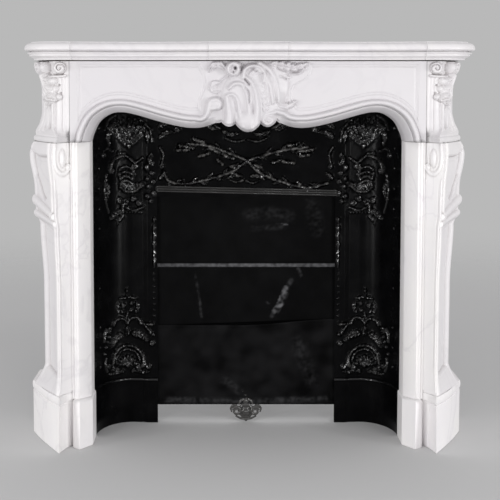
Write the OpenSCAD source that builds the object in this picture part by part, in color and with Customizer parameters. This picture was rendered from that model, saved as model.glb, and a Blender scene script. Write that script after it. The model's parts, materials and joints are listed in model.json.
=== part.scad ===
// Louis XV fireplace mantel: carved white marble with a black cast-iron insert and a fire curtain
// of three sheet slats that rise behind the iron lintel.
// The front looks along -Y, the wall is at +Y, and the floor is z = 0. Sizes in millimetres.

/* [Overall] */
// Width over the shelf
width = 1222; // [1150:1:1500]
// Height from the floor to the top of the shelf
height = 1085; // [880:1:1320]
// Depth from the shelf's nose to the wall
depth = 345; // [285:1:420]

/* [Shelf] */
// Thickness of the shelf
shelf_h = 47; // [35:1:60]
// How far the shelf's nose stands in front of the plinths
shelf_nose = 30; // [20:1:45]
// How far the shelf stands out beyond each plinth at the side
shelf_side = 12; // [5:1:25]
// Step of the shelf's ears and middle in front of its straight lengths
shelf_step = 14; // [6:1:20]
// Half width of the shelf's middle section
shelf_middle = 102; // [60:1:140]

/* [Frieze] */
// Height of the frieze and of the corner blocks beside it
frieze_h = 217; // [200:1:260]
// Depth of the frieze's flat face behind the tips of the plinths
face_t = 38; // [30:1:55]
// Depth of the frieze and the jambs at their back
back_t = 150; // [130:1:170]
// Width of the moulding that follows the opening
moulding_w = 34; // [28:1:40]
// Height of each arch crown above the jambs
crown_h = 79; // [60:1:90]

/* [Legs] */
// Width of a leg from its plinth's outer side to its seam with the jamb
leg_w = 129; // [115:1:150]
// Height of the plinths under the consoles
plinth_h = 149; // [120:1:180]
// Height of the collar over each console
collar_h = 20; // [14:1:26]
// Swell of a console's shoulder to the side
swell = 34; // [20:1:42]
// Thickness of the slabs that close the sides
slab_w = 25; // [18:1:35]

/* [Jambs] */
// Width of a jamb at the opening's side
jamb_w = 48; // [40:1:60]
// Height of the plinths under the jambs
jamb_plinth_h = 131; // [100:1:160]

/* [Iron insert] */
// Thickness of the iron castings
iron_w = 5; // [4:1:8]
// Width of a side casting, from the jamb to its inner edge
casting_w = 168; // [140:1:200]
// Height of the plain base of the side castings
base_h = 126; // [90:1:160]
// Distance from the back of the side castings' inner edge to the wall
iron_to_wall = 24; // [22:1:40]
// Height of the lintel's lower edge under the frieze's seam
lintel_drop = 166; // [140:1:200]

/* [Curtain] */
// Thickness of the curtain's slats
slat_w = 2.5; // [2:0.5:3]
// Distance from the front of one slat to the front of the next
slat_pitch = 5.5; // [5.5:0.5:7]
// Play of a slat in its groove, on each side
slat_play = 0.5; // [0.5:0.1:1]
// Height of the lowest slat's bottom edge over the floor, held up there by the pull
curtain_gap = 50; // [30:1:60]
// Width of the pull
pull_w = 92; // [80:1:110]
// Height of the pull
pull_h = 68; // [56:1:74]

/* [Hidden] */
$fn = 48;

marble = "gainsboro";
iron = "#1c1c1e";
sheet = "#2a2b2e";

// Depths are measured back from the tips of the plinths and turned into y by at_depth.
function at_depth(t) = t + shelf_nose - depth / 2;
wall_t = depth - shelf_nose;
top_z = height - shelf_h;
seam_z = top_z - frieze_h;
seam_x = width / 2 - shelf_side - leg_w;
open_x = seam_x - jamb_w;
plinth_x = seam_x + leg_w;
niche_x = open_x - casting_w;
iron_t = wall_t - iron_to_wall - iron_w;

// ---- shared functions ----
function lerp(a, b, u) = a + (b - a) * u;
function clamp(v, lo, hi) = min(max(v, lo), hi);
function ease(u) = let (c = clamp(u, 0, 1)) c * c * (3 - 2 * c);
function smooth_point(a, b, c, d, u) =
    0.5 * (2 * b + (c - a) * u + (2 * a - 5 * b + 4 * c - d) * u * u + (3 * b - a - 3 * c + d) * u * u * u);
// A smooth line through points, with steps points to each stretch.
function smooth_line(p, steps) = let (n = len(p) - 1) concat(
    [for (i = [0:n - 1], s = [0:steps - 1])
        smooth_point(p[max(i - 1, 0)], p[i], p[i + 1], p[min(i + 2, n)], s / steps)],
    [p[n]]);
function turned(v) = [v[1], -v[0]];
function unit(v) = v / norm(v);
// The outward mitre of a chain of plan points at point i; the chain runs with its outside on its right.
function mitre(p, i) = let (
    n = len(p) - 1,
    a = unit(turned(p[min(i + 1, n)] - p[min(i, n - 1)])),
    b = unit(turned(p[max(i, 1)] - p[max(i - 1, 0)]))
) (a + b) / max(1 + a * b, 0.6);
function grown(p, d) = [for (i = [0:len(p) - 1]) p[i] + mitre(p, i) * d];
// Height of a rounded capsule of radius r round the line from a to b, as seen at point p.
function ridge(p, a, b, r, h) = let (
    u = clamp((p - a) * (b - a) / ((b - a) * (b - a)), 0, 1),
    d = norm(p - a - u * (b - a)) / r
) d >= 1 ? 0 : h * sqrt(1 - d * d);
// A volute's coil: a dome with a round groove.
function coil(p, c, r, h) = let (d = norm(p - c) / r) d >= 1 ? 0 : h * (0.78 + 0.22 * cos(720 * d));

// A closed skin over rings of equal length, each closed at its end by triangles to its middle.
module skin(rings) {
    n = len(rings[0]);
    m = len(rings);
    polyhedron(
        concat(
            [for (r = rings) each r],
            [middle(rings[0]), middle(rings[m - 1])]),
        concat(
            [for (i = [0:m - 2], j = [0:n - 1]) [i * n + j, (i + 1) * n + j, (i + 1) * n + (j + 1) % n]],
            [for (i = [0:m - 2], j = [0:n - 1]) [i * n + j, (i + 1) * n + (j + 1) % n, i * n + (j + 1) % n]],
            [for (j = [0:n - 1]) [m * n, j, (j + 1) % n]],
            [for (j = [0:n - 1]) [m * n + 1, (m - 1) * n + (j + 1) % n, (m - 1) * n + j]]),
        convexity = 8);
}
function middle(ring) = [for (k = [0:2]) sum(ring, k) / len(ring)];
function sum(ring, k) = [for (p = ring) p[k]] * [for (p = ring) 1];
// A ring at height z from plan points given as [x, depth].
function level(p, z) = [for (q = p) [q[0], at_depth(q[1]), z]];

module on_side(side) {
    if (side < 0) mirror([1, 0, 0]) children();
    else children();
}

// ---- shelf ----
// Each row of the profile is [inset from the nose, share of the thickness].
shelf_profile = [
    [27, 0], [27, 0.07], [20, 0.13], [14, 0.2], [13, 0.28], [8, 0.32], [8, 0.4], [13, 0.44],
    [4, 0.5], [0, 0.66], [2, 0.8], [8, 0.92], [13, 0.97], [19, 1]
];
shelf_ear_x = seam_x + 2;
shelf_end_x = width / 2;
shelf_ear_r = 85;
// The front edge of the right half, from the middle outward, as [x, depth].
function shelf_half() = concat(
    [[0, -shelf_nose], [shelf_middle * 0.6, -shelf_nose + 1], [shelf_middle, -shelf_nose + 4]],
    [for (u = [0:0.125:1]) [
        lerp(shelf_middle, shelf_ear_x, u),
        -shelf_nose + 4 + shelf_step + shelf_step * sin(180 * u)]],
    [[shelf_ear_x, -shelf_nose + 6]],
    [for (a = [60:-15:0]) [
        shelf_end_x - shelf_ear_r + shelf_ear_r * cos(a),
        -shelf_nose + shelf_ear_r * (1 - sin(a)) * 1.25 - 4]],
    [[shelf_end_x, wall_t]]);
function shelf_front() = let (h = shelf_half(), n = len(h) - 1)
    concat([for (i = [n:-1:1]) [-h[i][0], h[i][1]]], h);
shelf_hubs = [shelf_end_x - 60, shelf_ear_x / 2 + 50, 0, -shelf_ear_x / 2 - 50, 60 - shelf_end_x];
function shelf_row(inset) = let (f = grown(shelf_front(), -inset), n = len(f) - 1) concat(
    [[f[0][0], wall_t]], [for (i = [1:n - 1]) f[i]], [[f[n][0], wall_t]],
    [for (x = shelf_hubs) [x, wall_t]]);

module mantel_shelf() {
    front = shelf_front();
    n = len(front);
    total = n + len(shelf_hubs);
    rows = len(shelf_profile);
    last = rows - 1;
    // Each front edge point is joined to the hub behind its own section.
    hub = [for (q = front) n + (q[0] > shelf_ear_x - 1 && q[1] > -shelf_nose + 5 + shelf_step ? 0 :
        q[0] > shelf_ear_x - 0.5 ? 0 : q[0] > shelf_middle - 0.5 ? 1 :
        q[0] > -shelf_middle - 0.5 ? 2 : q[0] > -shelf_ear_x - 0.5 ? 3 : 4)];
    color(marble) polyhedron(
        [for (row = shelf_profile) each level(shelf_row(row[0]), top_z + row[1] * shelf_h)],
        concat(
            [for (i = [0:last - 1], j = [0:total - 1])
                [i * total + j, (i + 1) * total + j, (i + 1) * total + (j + 1) % total]],
            [for (i = [0:last - 1], j = [0:total - 1])
                [i * total + j, (i + 1) * total + (j + 1) % total, i * total + (j + 1) % total]],
            shelf_cap(hub, n, 0, true),
            shelf_cap(hub, n, last * total, false)),
        convexity = 6);
}
// Triangles from the front edge to the hubs, and between neighbouring hubs where the edge changes hub.
function shelf_cap(hub, n, start, below) = [
    for (j = [0:n - 2]) let (a = hub[j], b = hub[j + 1])
        each concat(
            [faced([start + a, start + j, start + j + 1], below)],
            a == b ? [] : [faced([start + a, start + j + 1, start + b], below)])
];
function faced(f, below) = below ? f : [f[0], f[2], f[1]];

// ---- frieze ----
// Lower edge of one side from the jamb to the volute: points as [share of the opening's half, share of the crown].
edge_points = [[1, 0], [0.985, 0.27], [0.945, 0.67], [0.875, 0.93], [0.8, 1], [0.71, 0.92],
    [0.52, 0.63], [0.37, 0.47], [0.22, 0.54]];
edge_steps = 3;
// The scrolls of the middle's lower edge: each is [end x, end height, sag] over the seam.
middle_scrolls = [[-67, 51, 3], [-31, 48, 11], [38, 50, 24], [81, 58, 13], [93, 43, 2]];
scroll_steps = 4;
side_edge = smooth_line([for (p = edge_points) [p[0] * open_x, seam_z + p[1] * crown_h]], edge_steps);
edge_n = len(side_edge) - 1;
middle_edge = [for (k = [0:len(middle_scrolls) - 1], s = [1:scroll_steps]) let (
    a = k == 0 ? [-0.22 * open_x, 43] : middle_scrolls[k - 1], b = middle_scrolls[k], u = s / scroll_steps
) [lerp(a[0], b[0], u), seam_z + lerp(a[1], b[1], u) - b[2] * sin(180 * u)]];
middle_n = len(middle_edge) - 1;
corner_station = 6;
// Rows of the moulding as [share of its width, depth behind its edge's front].
edge_t = 84;
moulding_rows = [[0, 84], [0.3, 67], [0.55, 54], [0.6, 57], [0.66, 46], [0.8, 38], [0.93, 43], [1, 48]];
panel_rows = 9;

// The upper boundary point that belongs to station i of a side's edge.
function border_point(i) = i <= corner_station
    ? [seam_x, lerp(seam_z, top_z, i / corner_station)]
    : [lerp(seam_x, 0.22 * open_x, (i - corner_station) / (edge_n - corner_station)), top_z];
function volute(p) = max(
    coil(p, [-85, top_z - 116], 21, 26),
    coil(p, [68, top_z - 158], 19, 26));
// Carving of the cartouche in the middle, as its height over the frieze's face at p = [x, z].
function cartouche(p) = let (q = [p[0], p[1] - top_z]) max(
    ridge(q, [-31, -25], [-31, -22], 22, 20),
    ridge(q, [-31, -40], [-8, -78], 18, 34),
    ridge(q, [-8, -78], [8, -110], 26, 38),
    ridge(q, [8, -110], [8, -165], 34, 40),
    ridge(q, [20, -20], [62, -38], 22, 30),
    ridge(q, [62, -38], [102, -95], 24, 32),
    ridge(q, [70, -30], [165, -14], 20, 28),
    ridge(q, [102, -95], [130, -118], 14, 20),
    ridge(q, [-75, -60], [-55, -100], 14, 16),
    ridge(q, [-49, -168], [-40, -140], 20, 26),
    ridge(q, [-60, -20], [-45, -40], 16, 14),
    ridge(q, [40, -130], [60, -165], 22, 24),
    volute(p));
// One station across the frieze: lower edge back, lower edge front, the face's rows, top, top back.
function station(e, nrm, b, is_side) = let (o = e + nrm * moulding_w) concat(
    [[e[0], back_t, e[1]]],
    [for (r = moulding_rows) let (p = e + nrm * r[0] * moulding_w)
        [p[0], is_side ? r[1] - volute(p) : face_t - cartouche(p) + 6 * (1 - r[0]), p[1]]],
    [for (k = [1:panel_rows]) let (p = lerp(o, b, k / panel_rows))
        [p[0], face_t - (k < panel_rows ? cartouche(p) : 0), p[1]]],
    [[b[0], back_t, b[1]]]);
function edge_out(i) = i == 0 ? [1, 0]
    : let (d = unit(side_edge[min(i + 1, edge_n)] - side_edge[i - 1])) [-d[1], d[0]] * (d[0] < 0 ? -1 : 1);
function side_station(i) = station(side_edge[i], edge_out(i), border_point(i), true);
function middle_station(i) = station(middle_edge[i], [0, 1], [middle_edge[i][0], top_z], false);
function flipped(ring) = [for (p = ring) [-p[0], p[1], p[2]]];
function placed(ring) = [for (p = ring) [p[0], at_depth(p[1]), p[2]]];

module frieze() {
    color(marble) skin(concat(
        [for (i = [0:edge_n]) placed(flipped(side_station(i)))],
        [for (i = [0:middle_n - 1]) placed(middle_station(i))],
        [for (i = [edge_n:-1:0]) placed(side_station(i))]));
}

// ---- legs ----
// Plan of a plinth or collar on the right: from the seam's back, round the tip, to the outer side.
function prow() = [
    [seam_x, 79], [seam_x + 15, 45], [seam_x + 28, 0], [seam_x + 65, 51], [seam_x + 99, 119],
    [plinth_x, 191]
];
// A closed plan from a chain, taken back to depth t.
function to_depth(p, t) = concat([[seam_x, t]], [[seam_x, p[0][1]]],
    [for (i = [1:len(p) - 1]) p[i]], [[p[len(p) - 1][0], t]]);

module console_plinth(side) {
    // Each row is [inset, height].
    rows = [
        [3, 0], [0, 4], [0, plinth_h - 26], [2, plinth_h - 22], [2, plinth_h - 20],
        [-1, plinth_h - 16], [-1, plinth_h - 8], [3, plinth_h - 2], [9, plinth_h]
    ];
    color(marble) on_side(side)
        skin([for (r = rows) level(to_depth(grown(prow(), -r[0] - 1), wall_t), r[1])]);
}

// A console's own heights.
foot_top = plinth_h + 87;
knee_z = seam_z - 190;
shoulder_z = seam_z - 37;
swell_points = [[foot_top, 0], [knee_z - 200, 0.02], [knee_z - 40, 0.27], [knee_z, 0.62],
    [knee_z + 60, 0.7], [shoulder_z, 1.08], [seam_z, 0.95]];
function swell_at(z) = z <= foot_top ? 0 : swell * between(swell_points, z);
function between(p, z) = let (i = max([for (k = [0:len(p) - 2]) p[k][0] <= z ? k : 0]))
    lerp(p[i][1], p[i + 1][1], ease((z - p[i][0]) / (p[i + 1][0] - p[i][0])));
function flare_at(z) = pow(clamp((foot_top - z) / (foot_top - plinth_h), 0, 1), 2);
// The cuff's two rolls hang lower toward the front edge; f is 0 there and 1 at the outer side.
cuff_h = 5;
function cuff(z, f) = let (v = (z - knee_z + 30 * (1 - f)) / 24) abs(v) > 1 ? 0 : cuff_h * abs(sin(180 * v));
// Sunk panels over and under the cuff.
sink = 5;
function sunk(z, f) = (f < 0.15 || f > 0.85) ? 0
    : (z > foot_top + 12 && z < knee_z - 44) || (z > knee_z + 34 + 90 * abs(f - 0.5) && z < seam_z - 40) ? sink : 0;
function console_plan(z) = let (
    s = swell_at(z), v = flare_at(z),
    tip = [seam_x + 30, 16],
    arris = [seam_x + 32 + 0.75 * s + 8 * v, 18 + 0.75 * s - 3 * v],
    outer = [seam_x + 86 + s + 22 * v, back_t],
    n = unit(turned(outer - arris))
) concat(
    [[seam_x, back_t + 5], [seam_x, 79], tip],
    [for (f = [0, 0.12, 0.18, 0.5, 0.82, 0.88, 1]) lerp(arris, outer, f) + n * (cuff(z, f) - sunk(z, f))],
    [[outer[0], back_t + 5]]);

module console(side) {
    heights = concat(
        [plinth_h, plinth_h + 15, plinth_h + 30, plinth_h + 50, foot_top, foot_top + 14],
        [for (u = [0.25, 0.5, 0.75]) lerp(foot_top, knee_z - 44, u)],
        [for (d = [-60:8:44]) knee_z + d],
        [for (d = [64:18:118]) knee_z + d],
        [seam_z - 42, seam_z - 38, seam_z - 16, seam_z]);
    color(marble) on_side(side) skin([for (z = heights) level(console_plan(z), z)]);
}

// A corner block: collar, fluted neck, acanthus leaf and a scroll under the shelf.
scroll_r = 14;
// Leaf, egg and scrolls as heights over the block at height z (from the shelf) and share f of the plan.
function block_relief(z, f) = let (p = [f * 100, z]) max(
    ridge(p, [4, -55], [22, -40], 22, 16),
    ridge(p, [4, -60], [10, -110], 16, 10),
    ridge(p, [34, -32], [34, -10], 22, 20),
    coil(p, [-14, -17], scroll_r, 12),
    ridge(p, [84, -30], [84, -8], 16, 14),
    0);
function block_waist(z) = let (u = clamp((top_z - z) / frieze_h, 0, 1)) 23 * pow(sin(180 * pow(u, 0.85)), 2);
function block_plan(z) = let (
    w = block_waist(z),
    tip = [seam_x + 22, 24 + 0.3 * w],
    arris = [seam_x + 40, 30 + 0.4 * w],
    outer = [seam_x + 114 - w, back_t],
    n = unit(turned(outer - arris)),
    d = z - top_z
) concat(
    [[seam_x, back_t + 5], [seam_x, face_t], [seam_x + 8, face_t - 2 - block_relief(d, -0.2)],
        tip - [0, block_relief(d, -0.12)], lerp(tip, arris, 0.5) - [0, block_relief(d, -0.06)]],
    [for (f = [0, 0.1, 0.22, 0.34, 0.46, 0.6, 0.74, 0.86, 1]) lerp(arris, outer, f) + n * block_relief(d, f)],
    [[outer[0], back_t + 5]]);
// The collar's plan with as many points as the block's.
function collar_plan(grow) = let (p = grown(prow(), grow)) concat(
    [[seam_x, back_t + 5], [seam_x, 72], p[1], lerp(p[1], p[2], 0.6), p[2]],
    [for (f = [0.08, 0.22, 0.36, 0.5, 0.64, 0.76, 0.86, 0.94, 1]) lerp(p[2], lerp(p[4], p[5], 0.43), f)
        + [3, 0] * sin(180 * f)],
    [[lerp(p[4], p[5], 0.43)[0], back_t + 5]]);
module corner_block(side) {
    collar_rows = [[-4, 0], [0, 0.2], [1.5, 0.5], [0, 0.8], [-4, 1]];
    first = seam_z + collar_h + 8;
    steps = 18;
    color(marble) on_side(side) skin(concat(
        [for (r = collar_rows) level(collar_plan(r[0]), seam_z + r[1] * collar_h)],
        [for (i = [0:steps]) let (z = lerp(first, top_z, i / steps)) level(block_plan(z), z)]));
}

// A slab from the console's back to the wall, under the shelf.
module side_slab(side) {
    color(marble) on_side(side)
        translate([seam_x + 82 - slab_w, at_depth(back_t + 5), plinth_h])
            cube([slab_w, wall_t - back_t - 5, top_z - plinth_h]);
}

// ---- jambs ----
module jamb(side) {
    // A half-round bead beside the seam, then a face that slants back into the opening.
    bead = 5;
    bead_front = [for (a = [180:-30:0]) [seam_x - 1 - bead + bead * cos(180 - a), face_t + 6 - bead * sin(a)]];
    plan = concat([[seam_x, back_t], [seam_x, face_t + 6]], bead_front,
        [[seam_x - 14, face_t + 10], [open_x, edge_t], [open_x, back_t]]);
    color(marble) on_side(side) translate([0, 0, jamb_plinth_h])
        linear_extrude(seam_z - jamb_plinth_h) polygon(deep(plan));
}
module jamb_plinth(side) {
    step_h = 8;
    plan = [[seam_x, back_t], [seam_x, 82], [seam_x - 9, 46], [seam_x - 21, 35], [open_x - 4, 79],
        [open_x - 4, back_t]];
    color(marble) on_side(side) {
        linear_extrude(jamb_plinth_h - step_h) polygon([for (p = plan) [p[0], at_depth(p[1])]]);
        translate([0, 0, jamb_plinth_h - step_h]) linear_extrude(step_h)
            polygon([for (p = plan) [lerp(seam_x, p[0], 0.94), at_depth(lerp(back_t, p[1], 0.97))]]);
    }
}

// ---- iron insert ----
lintel_z = seam_z - lintel_drop;
casting_top = seam_z + crown_h + 5;
// Front line of a side casting on the right, from the jamb round a hollow curve to the inner edge.
hollow_w = 96;
inner_strip = 28;
field_set = 4;
function hollow(r) = [for (a = [0:15:90])
    [open_x - r * (1 - cos(a)), back_t + (iron_t + field_set + 2 - back_t) * sin(a)]];
function casting_front() = concat(hollow(hollow_w),
    [[niche_x + inner_strip + 14, iron_t + field_set], [niche_x + inner_strip, iron_t], [niche_x, iron_t]]);
// The same line at distance d behind it, cut off square at both its ends.
function casting_back(d) = let (f = grown(casting_front(), d), n = len(f) - 1)
    [for (i = [0:n]) [i == n ? niche_x : f[i][0], i == 0 ? back_t : f[i][1]]];
function casting_plan(front, back) = let (b = casting_back(back), n = len(b) - 1)
    concat(casting_back(-front), [for (i = [n:-1:0]) b[i]]);

// A raised boss of radius r, tapered toward its top, on an iron face at depth t.
module boss(x, z, t, r) {
    translate([x, at_depth(t + 3), z]) rotate([90, 0, 0]) cylinder(h = 3 + 0.6 * r, r1 = r, r2 = 0.6 * r);
}
module iron_casting(side) {
    flat_t = iron_t + field_set;
    trophy_x = niche_x + inner_strip + 28;
    color(iron) on_side(side) {
        linear_extrude(casting_top) polygon(deep(casting_plan(0, iron_w)));
        linear_extrude(base_h) polygon(deep(casting_plan(3, 1)));
        // Lower trophy: a shell under an arch, with a column of florets over it.
        for (a = [0:45:180]) boss(trophy_x + 20 * cos(a), base_h + 60 + 20 * sin(a), flat_t, 6);
        for (k = [0:3]) boss(trophy_x, base_h + 110 + 22 * k, flat_t, 9);
        // Upper trophy: a column of leaves that taper upward, and a drop at the inner edge.
        for (k = [0:4]) boss(trophy_x, lintel_z - 20 + 26 * k, flat_t, 11 - k);
        for (k = [0:3]) boss(niche_x + 12, lintel_z - 60 - 22 * k, iron_t, 8 - k);
    }
}
function deep(p) = [for (q = p) [q[0], at_depth(q[1])]];

module iron_lintel() {
    bar_h = 14;
    color(iron) {
        translate([-niche_x, at_depth(iron_t), lintel_z])
            cube([2 * niche_x, iron_w, casting_top - lintel_z]);
        translate([-niche_x, at_depth(iron_t - 7), lintel_z]) cube([2 * niche_x, 8, bar_h]);
        // The plate that closes the insert above, back to the frieze.
        line = concat([[open_x, back_t]], casting_back(iron_w));
        n = len(line) - 1;
        translate([0, 0, casting_top]) linear_extrude(iron_w)
            polygon(deep(concat(line, [for (i = [n:-1:0]) [-line[i][0], line[i][1]]])));
        // Two crossed branches, each a row of leaves.
        for (s = [-1, 1], k = [1:6])
            boss(s * 27 * k, lintel_z + 36 + 24 * sin(30 * k), iron_t, 10);
        boss(0, lintel_z + 62, iron_t, 15);
    }
}

// ---- curtain ----
groove = 8;
slat_half = niche_x + 10;
first_slat_t = iron_t + iron_w + 3.5;
function slat_t(k) = first_slat_t + k * slat_pitch;
pull_top = curtain_gap + 18;
travel = lintel_z - pull_top - 2;
lap = 22;
visible_h = lintel_z - curtain_gap;
// Heights of the slats' bottom edges and top edges, lowest slat first.
slat_z = [curtain_gap, curtain_gap + 0.35 * visible_h - lap + 18, curtain_gap + 0.645 * visible_h];
slat_top = [slat_z[1] + lap, slat_z[2] + lap - 8, lintel_z + 34];
lip_h = 12;
lip_w = 1.5;

module slat(k) {
    color(sheet) {
        translate([-slat_half, at_depth(slat_t(k)), slat_z[k]])
            cube([2 * slat_half, slat_w, slat_top[k] - slat_z[k]]);
        translate([-niche_x + 2, at_depth(slat_t(k) - lip_w), slat_top[k] - lip_h])
            cube([2 * niche_x - 4, lip_w + 1, lip_h]);
    }
}
module curtain_guide(side) {
    // A comb of three grooves open toward the middle, fixed behind the side casting's inner edge.
    start = iron_t + iron_w;
    end = slat_t(2) + slat_w + slat_play + 2;
    color(iron) on_side(side) difference() {
        translate([slat_half - groove, at_depth(start), 0]) cube([groove + 12, end - start, casting_top]);
        for (k = [0:2]) translate([slat_half - groove - 1, at_depth(slat_t(k) - slat_play), -1])
            cube([groove + 3, slat_w + 2 * slat_play, casting_top + 2]);
    }
}
module curtain_pull() {
    cap = 6;
    mid = [0, pull_top - pull_h / 2 - 2];
    body_w = 7;
    front = slat_t(0);
    color(iron) translate([0, at_depth(front), 0]) rotate([90, 0, 0]) {
        // Back plate, two rings of C-scrolls, a rosette and a drop.
        difference() {
            union() {
                translate(mid) cylinder(h = body_w, r = pull_h * 0.34);
                for (s = [-1, 1]) translate(mid + [s * (pull_w / 2 - 19), 0]) cylinder(h = body_w, r = 19);
                translate([-7, mid[1] + 16]) cube([14, pull_top - mid[1] - 16, body_w]);
            }
            for (s = [-1, 1]) translate([s * (pull_w / 2 - 19), mid[1], -1]) cylinder(h = body_w + 2, r = 9);
        }
        translate([mid[0], mid[1], body_w]) sphere(10);
        translate([0, cap + 1, body_w / 2]) sphere(cap);
    }
}

mantel_shelf();
frieze();
corner_block(-1);  // left_corner_block
corner_block(1);  // right_corner_block
console(-1);  // left_console
console(1);  // right_console
console_plinth(-1);  // left_console_plinth
console_plinth(1);  // right_console_plinth
jamb(-1);  // left_jamb
jamb(1);  // right_jamb
jamb_plinth(-1);  // left_jamb_plinth
jamb_plinth(1);  // right_jamb_plinth
side_slab(-1);  // left_side_slab
side_slab(1);  // right_side_slab
iron_casting(-1);  // left_iron_casting
iron_casting(1);  // right_iron_casting
iron_lintel();
curtain_guide(-1);  // left_curtain_guide
curtain_guide(1);  // right_curtain_guide
slat(2);  // top_slat
slat(1);  // middle_slat
slat(0);  // bottom_slat
curtain_pull();
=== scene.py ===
"""Louis XV fireplace mantel: carved white marble, black cast-iron insert and sheet fire curtain."""
import json
import math

import bmesh
import bpy
import numpy as np
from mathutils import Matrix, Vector


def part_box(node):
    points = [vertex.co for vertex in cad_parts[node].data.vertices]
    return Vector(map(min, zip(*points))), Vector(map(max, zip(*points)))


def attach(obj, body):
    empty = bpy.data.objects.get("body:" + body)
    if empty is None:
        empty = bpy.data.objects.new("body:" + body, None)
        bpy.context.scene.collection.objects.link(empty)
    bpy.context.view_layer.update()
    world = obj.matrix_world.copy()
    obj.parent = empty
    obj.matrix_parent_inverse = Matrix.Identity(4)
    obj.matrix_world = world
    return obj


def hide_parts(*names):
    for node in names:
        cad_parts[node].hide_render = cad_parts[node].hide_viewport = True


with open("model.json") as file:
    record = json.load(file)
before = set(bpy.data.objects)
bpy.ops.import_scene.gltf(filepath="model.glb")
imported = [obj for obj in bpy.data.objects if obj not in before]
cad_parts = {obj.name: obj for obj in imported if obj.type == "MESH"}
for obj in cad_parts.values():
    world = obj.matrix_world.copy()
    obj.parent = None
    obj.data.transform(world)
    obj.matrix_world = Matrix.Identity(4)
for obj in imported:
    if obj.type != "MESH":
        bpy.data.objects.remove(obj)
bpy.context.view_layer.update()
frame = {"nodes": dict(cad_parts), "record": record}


# ---- sizes in millimetres, taken from the frame ----
def span(node):
    """The lowest and highest corner of a CAD node's box."""
    lo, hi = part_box(node)
    return np.array(lo) * 1000, np.array(hi) * 1000


shelf_lo, shelf_hi = span("mantel_shelf")
frieze_lo, frieze_hi = span("frieze")
OPEN_X = span("right_jamb")[0][0]
PLINTH_X, _, PLINTH_H = span("right_console_plinth")[1]
FOOT_H = span("right_jamb_plinth")[1][2]
NICHE_X = span("right_iron_casting")[0][0]
CASTING_TOP = span("right_iron_casting")[1][2]
LINTEL_Z = span("iron_lintel")[0][2]
SEAM_X = frieze_hi[0]
SEAM_Z, TOP_Z = frieze_lo[2], frieze_hi[2]

BACK_T = 150                          # depth of the marble front at its back, behind the plinths' tips
TIP_Y = frieze_hi[1] - BACK_T         # y of the plinths' tips, from which depths are measured back
WALL_T = shelf_hi[1] - TIP_Y
FACE_T = 38                           # the frieze's flat face
EDGE_T = 84                           # the front edge of the opening's reveal
SEAM_T = 52                           # how far back the legs meet the jambs
LEG_BACK_T = BACK_T + 5               # the back of the consoles and corner blocks
MOULDING_W = 34
CROWN_H = 79                          # height of the opening's arched top over the seam
COLLAR_H = 20
IRON_W = 5
IRON_T = span("left_curtain_guide")[0][1] - TIP_Y - IRON_W


# ---- curves ----
def smooth_line(points, count):
    """A smooth line through points, as count points evenly spaced along it."""
    p = np.array(points, float)
    p = np.vstack([2 * p[0] - p[1], p, 2 * p[-1] - p[-2]])
    u = np.linspace(0, 1, 16, endpoint=False)[:, None]
    parts = []
    for a, b, c, d in zip(p[:-3], p[1:-2], p[2:-1], p[3:]):
        parts.append(0.5 * (2 * b + (c - a) * u + (2 * a - 5 * b + 4 * c - d) * u ** 2
                            + (3 * b - a - 3 * c + d) * u ** 3))
    return evenly(np.vstack(parts + [p[-2][None]]), count)


def evenly(line, count):
    """A line's points again, as count points evenly spaced along it."""
    line = np.array(line, float)
    length = np.concatenate([[0], np.cumsum(np.linalg.norm(np.diff(line, axis=0), axis=1))])
    at = np.linspace(0, length[-1], count)
    return np.stack([np.interp(at, length, line[:, k]) for k in range(line.shape[1])], axis=1)


def spiral(centre, radius, turns, start, clockwise=False, end_radius=0.12):
    """Points of a scroll that winds in from start (degrees) round centre."""
    u = np.linspace(0, 1, int(24 * turns) + 2)
    a = math.radians(start) + (-1 if clockwise else 1) * 2 * math.pi * turns * u
    r = radius * (1 + (end_radius - 1) * u ** 0.8)
    return np.stack([centre[0] + r * np.cos(a), centre[1] + r * np.sin(a)], axis=1)


def ring_at(plan, z):
    """Points in the frame from a plan of [x, depth] pairs, all at height z or each at its own."""
    plan = np.asarray(plan, float)
    return np.column_stack([plan[:, 0], plan[:, 1] + TIP_Y, np.broadcast_to(z, len(plan))])


def normals_of(line):
    """Unit normals on the right of an open line, mitred where it turns."""
    d = np.diff(line, axis=0)
    d /= np.maximum(np.linalg.norm(d, axis=1, keepdims=True), 1e-9)
    n = np.stack([d[:, 1], -d[:, 0]], axis=1)
    a, b = np.vstack([n[:1], n]), np.vstack([n, n[-1:]])
    return (a + b) / np.maximum(1 + (a * b).sum(1, keepdims=True), 0.6)


def ease(u):
    """A smooth step from 0 to 1."""
    u = np.clip(u, 0, 1)
    return u * u * (3 - 2 * u)


def round_over(d, half):
    """The height of a half-round of height 1, at distances d from its middle."""
    return np.sqrt(np.clip(1 - (d / half) ** 2, 0, 1))


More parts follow.
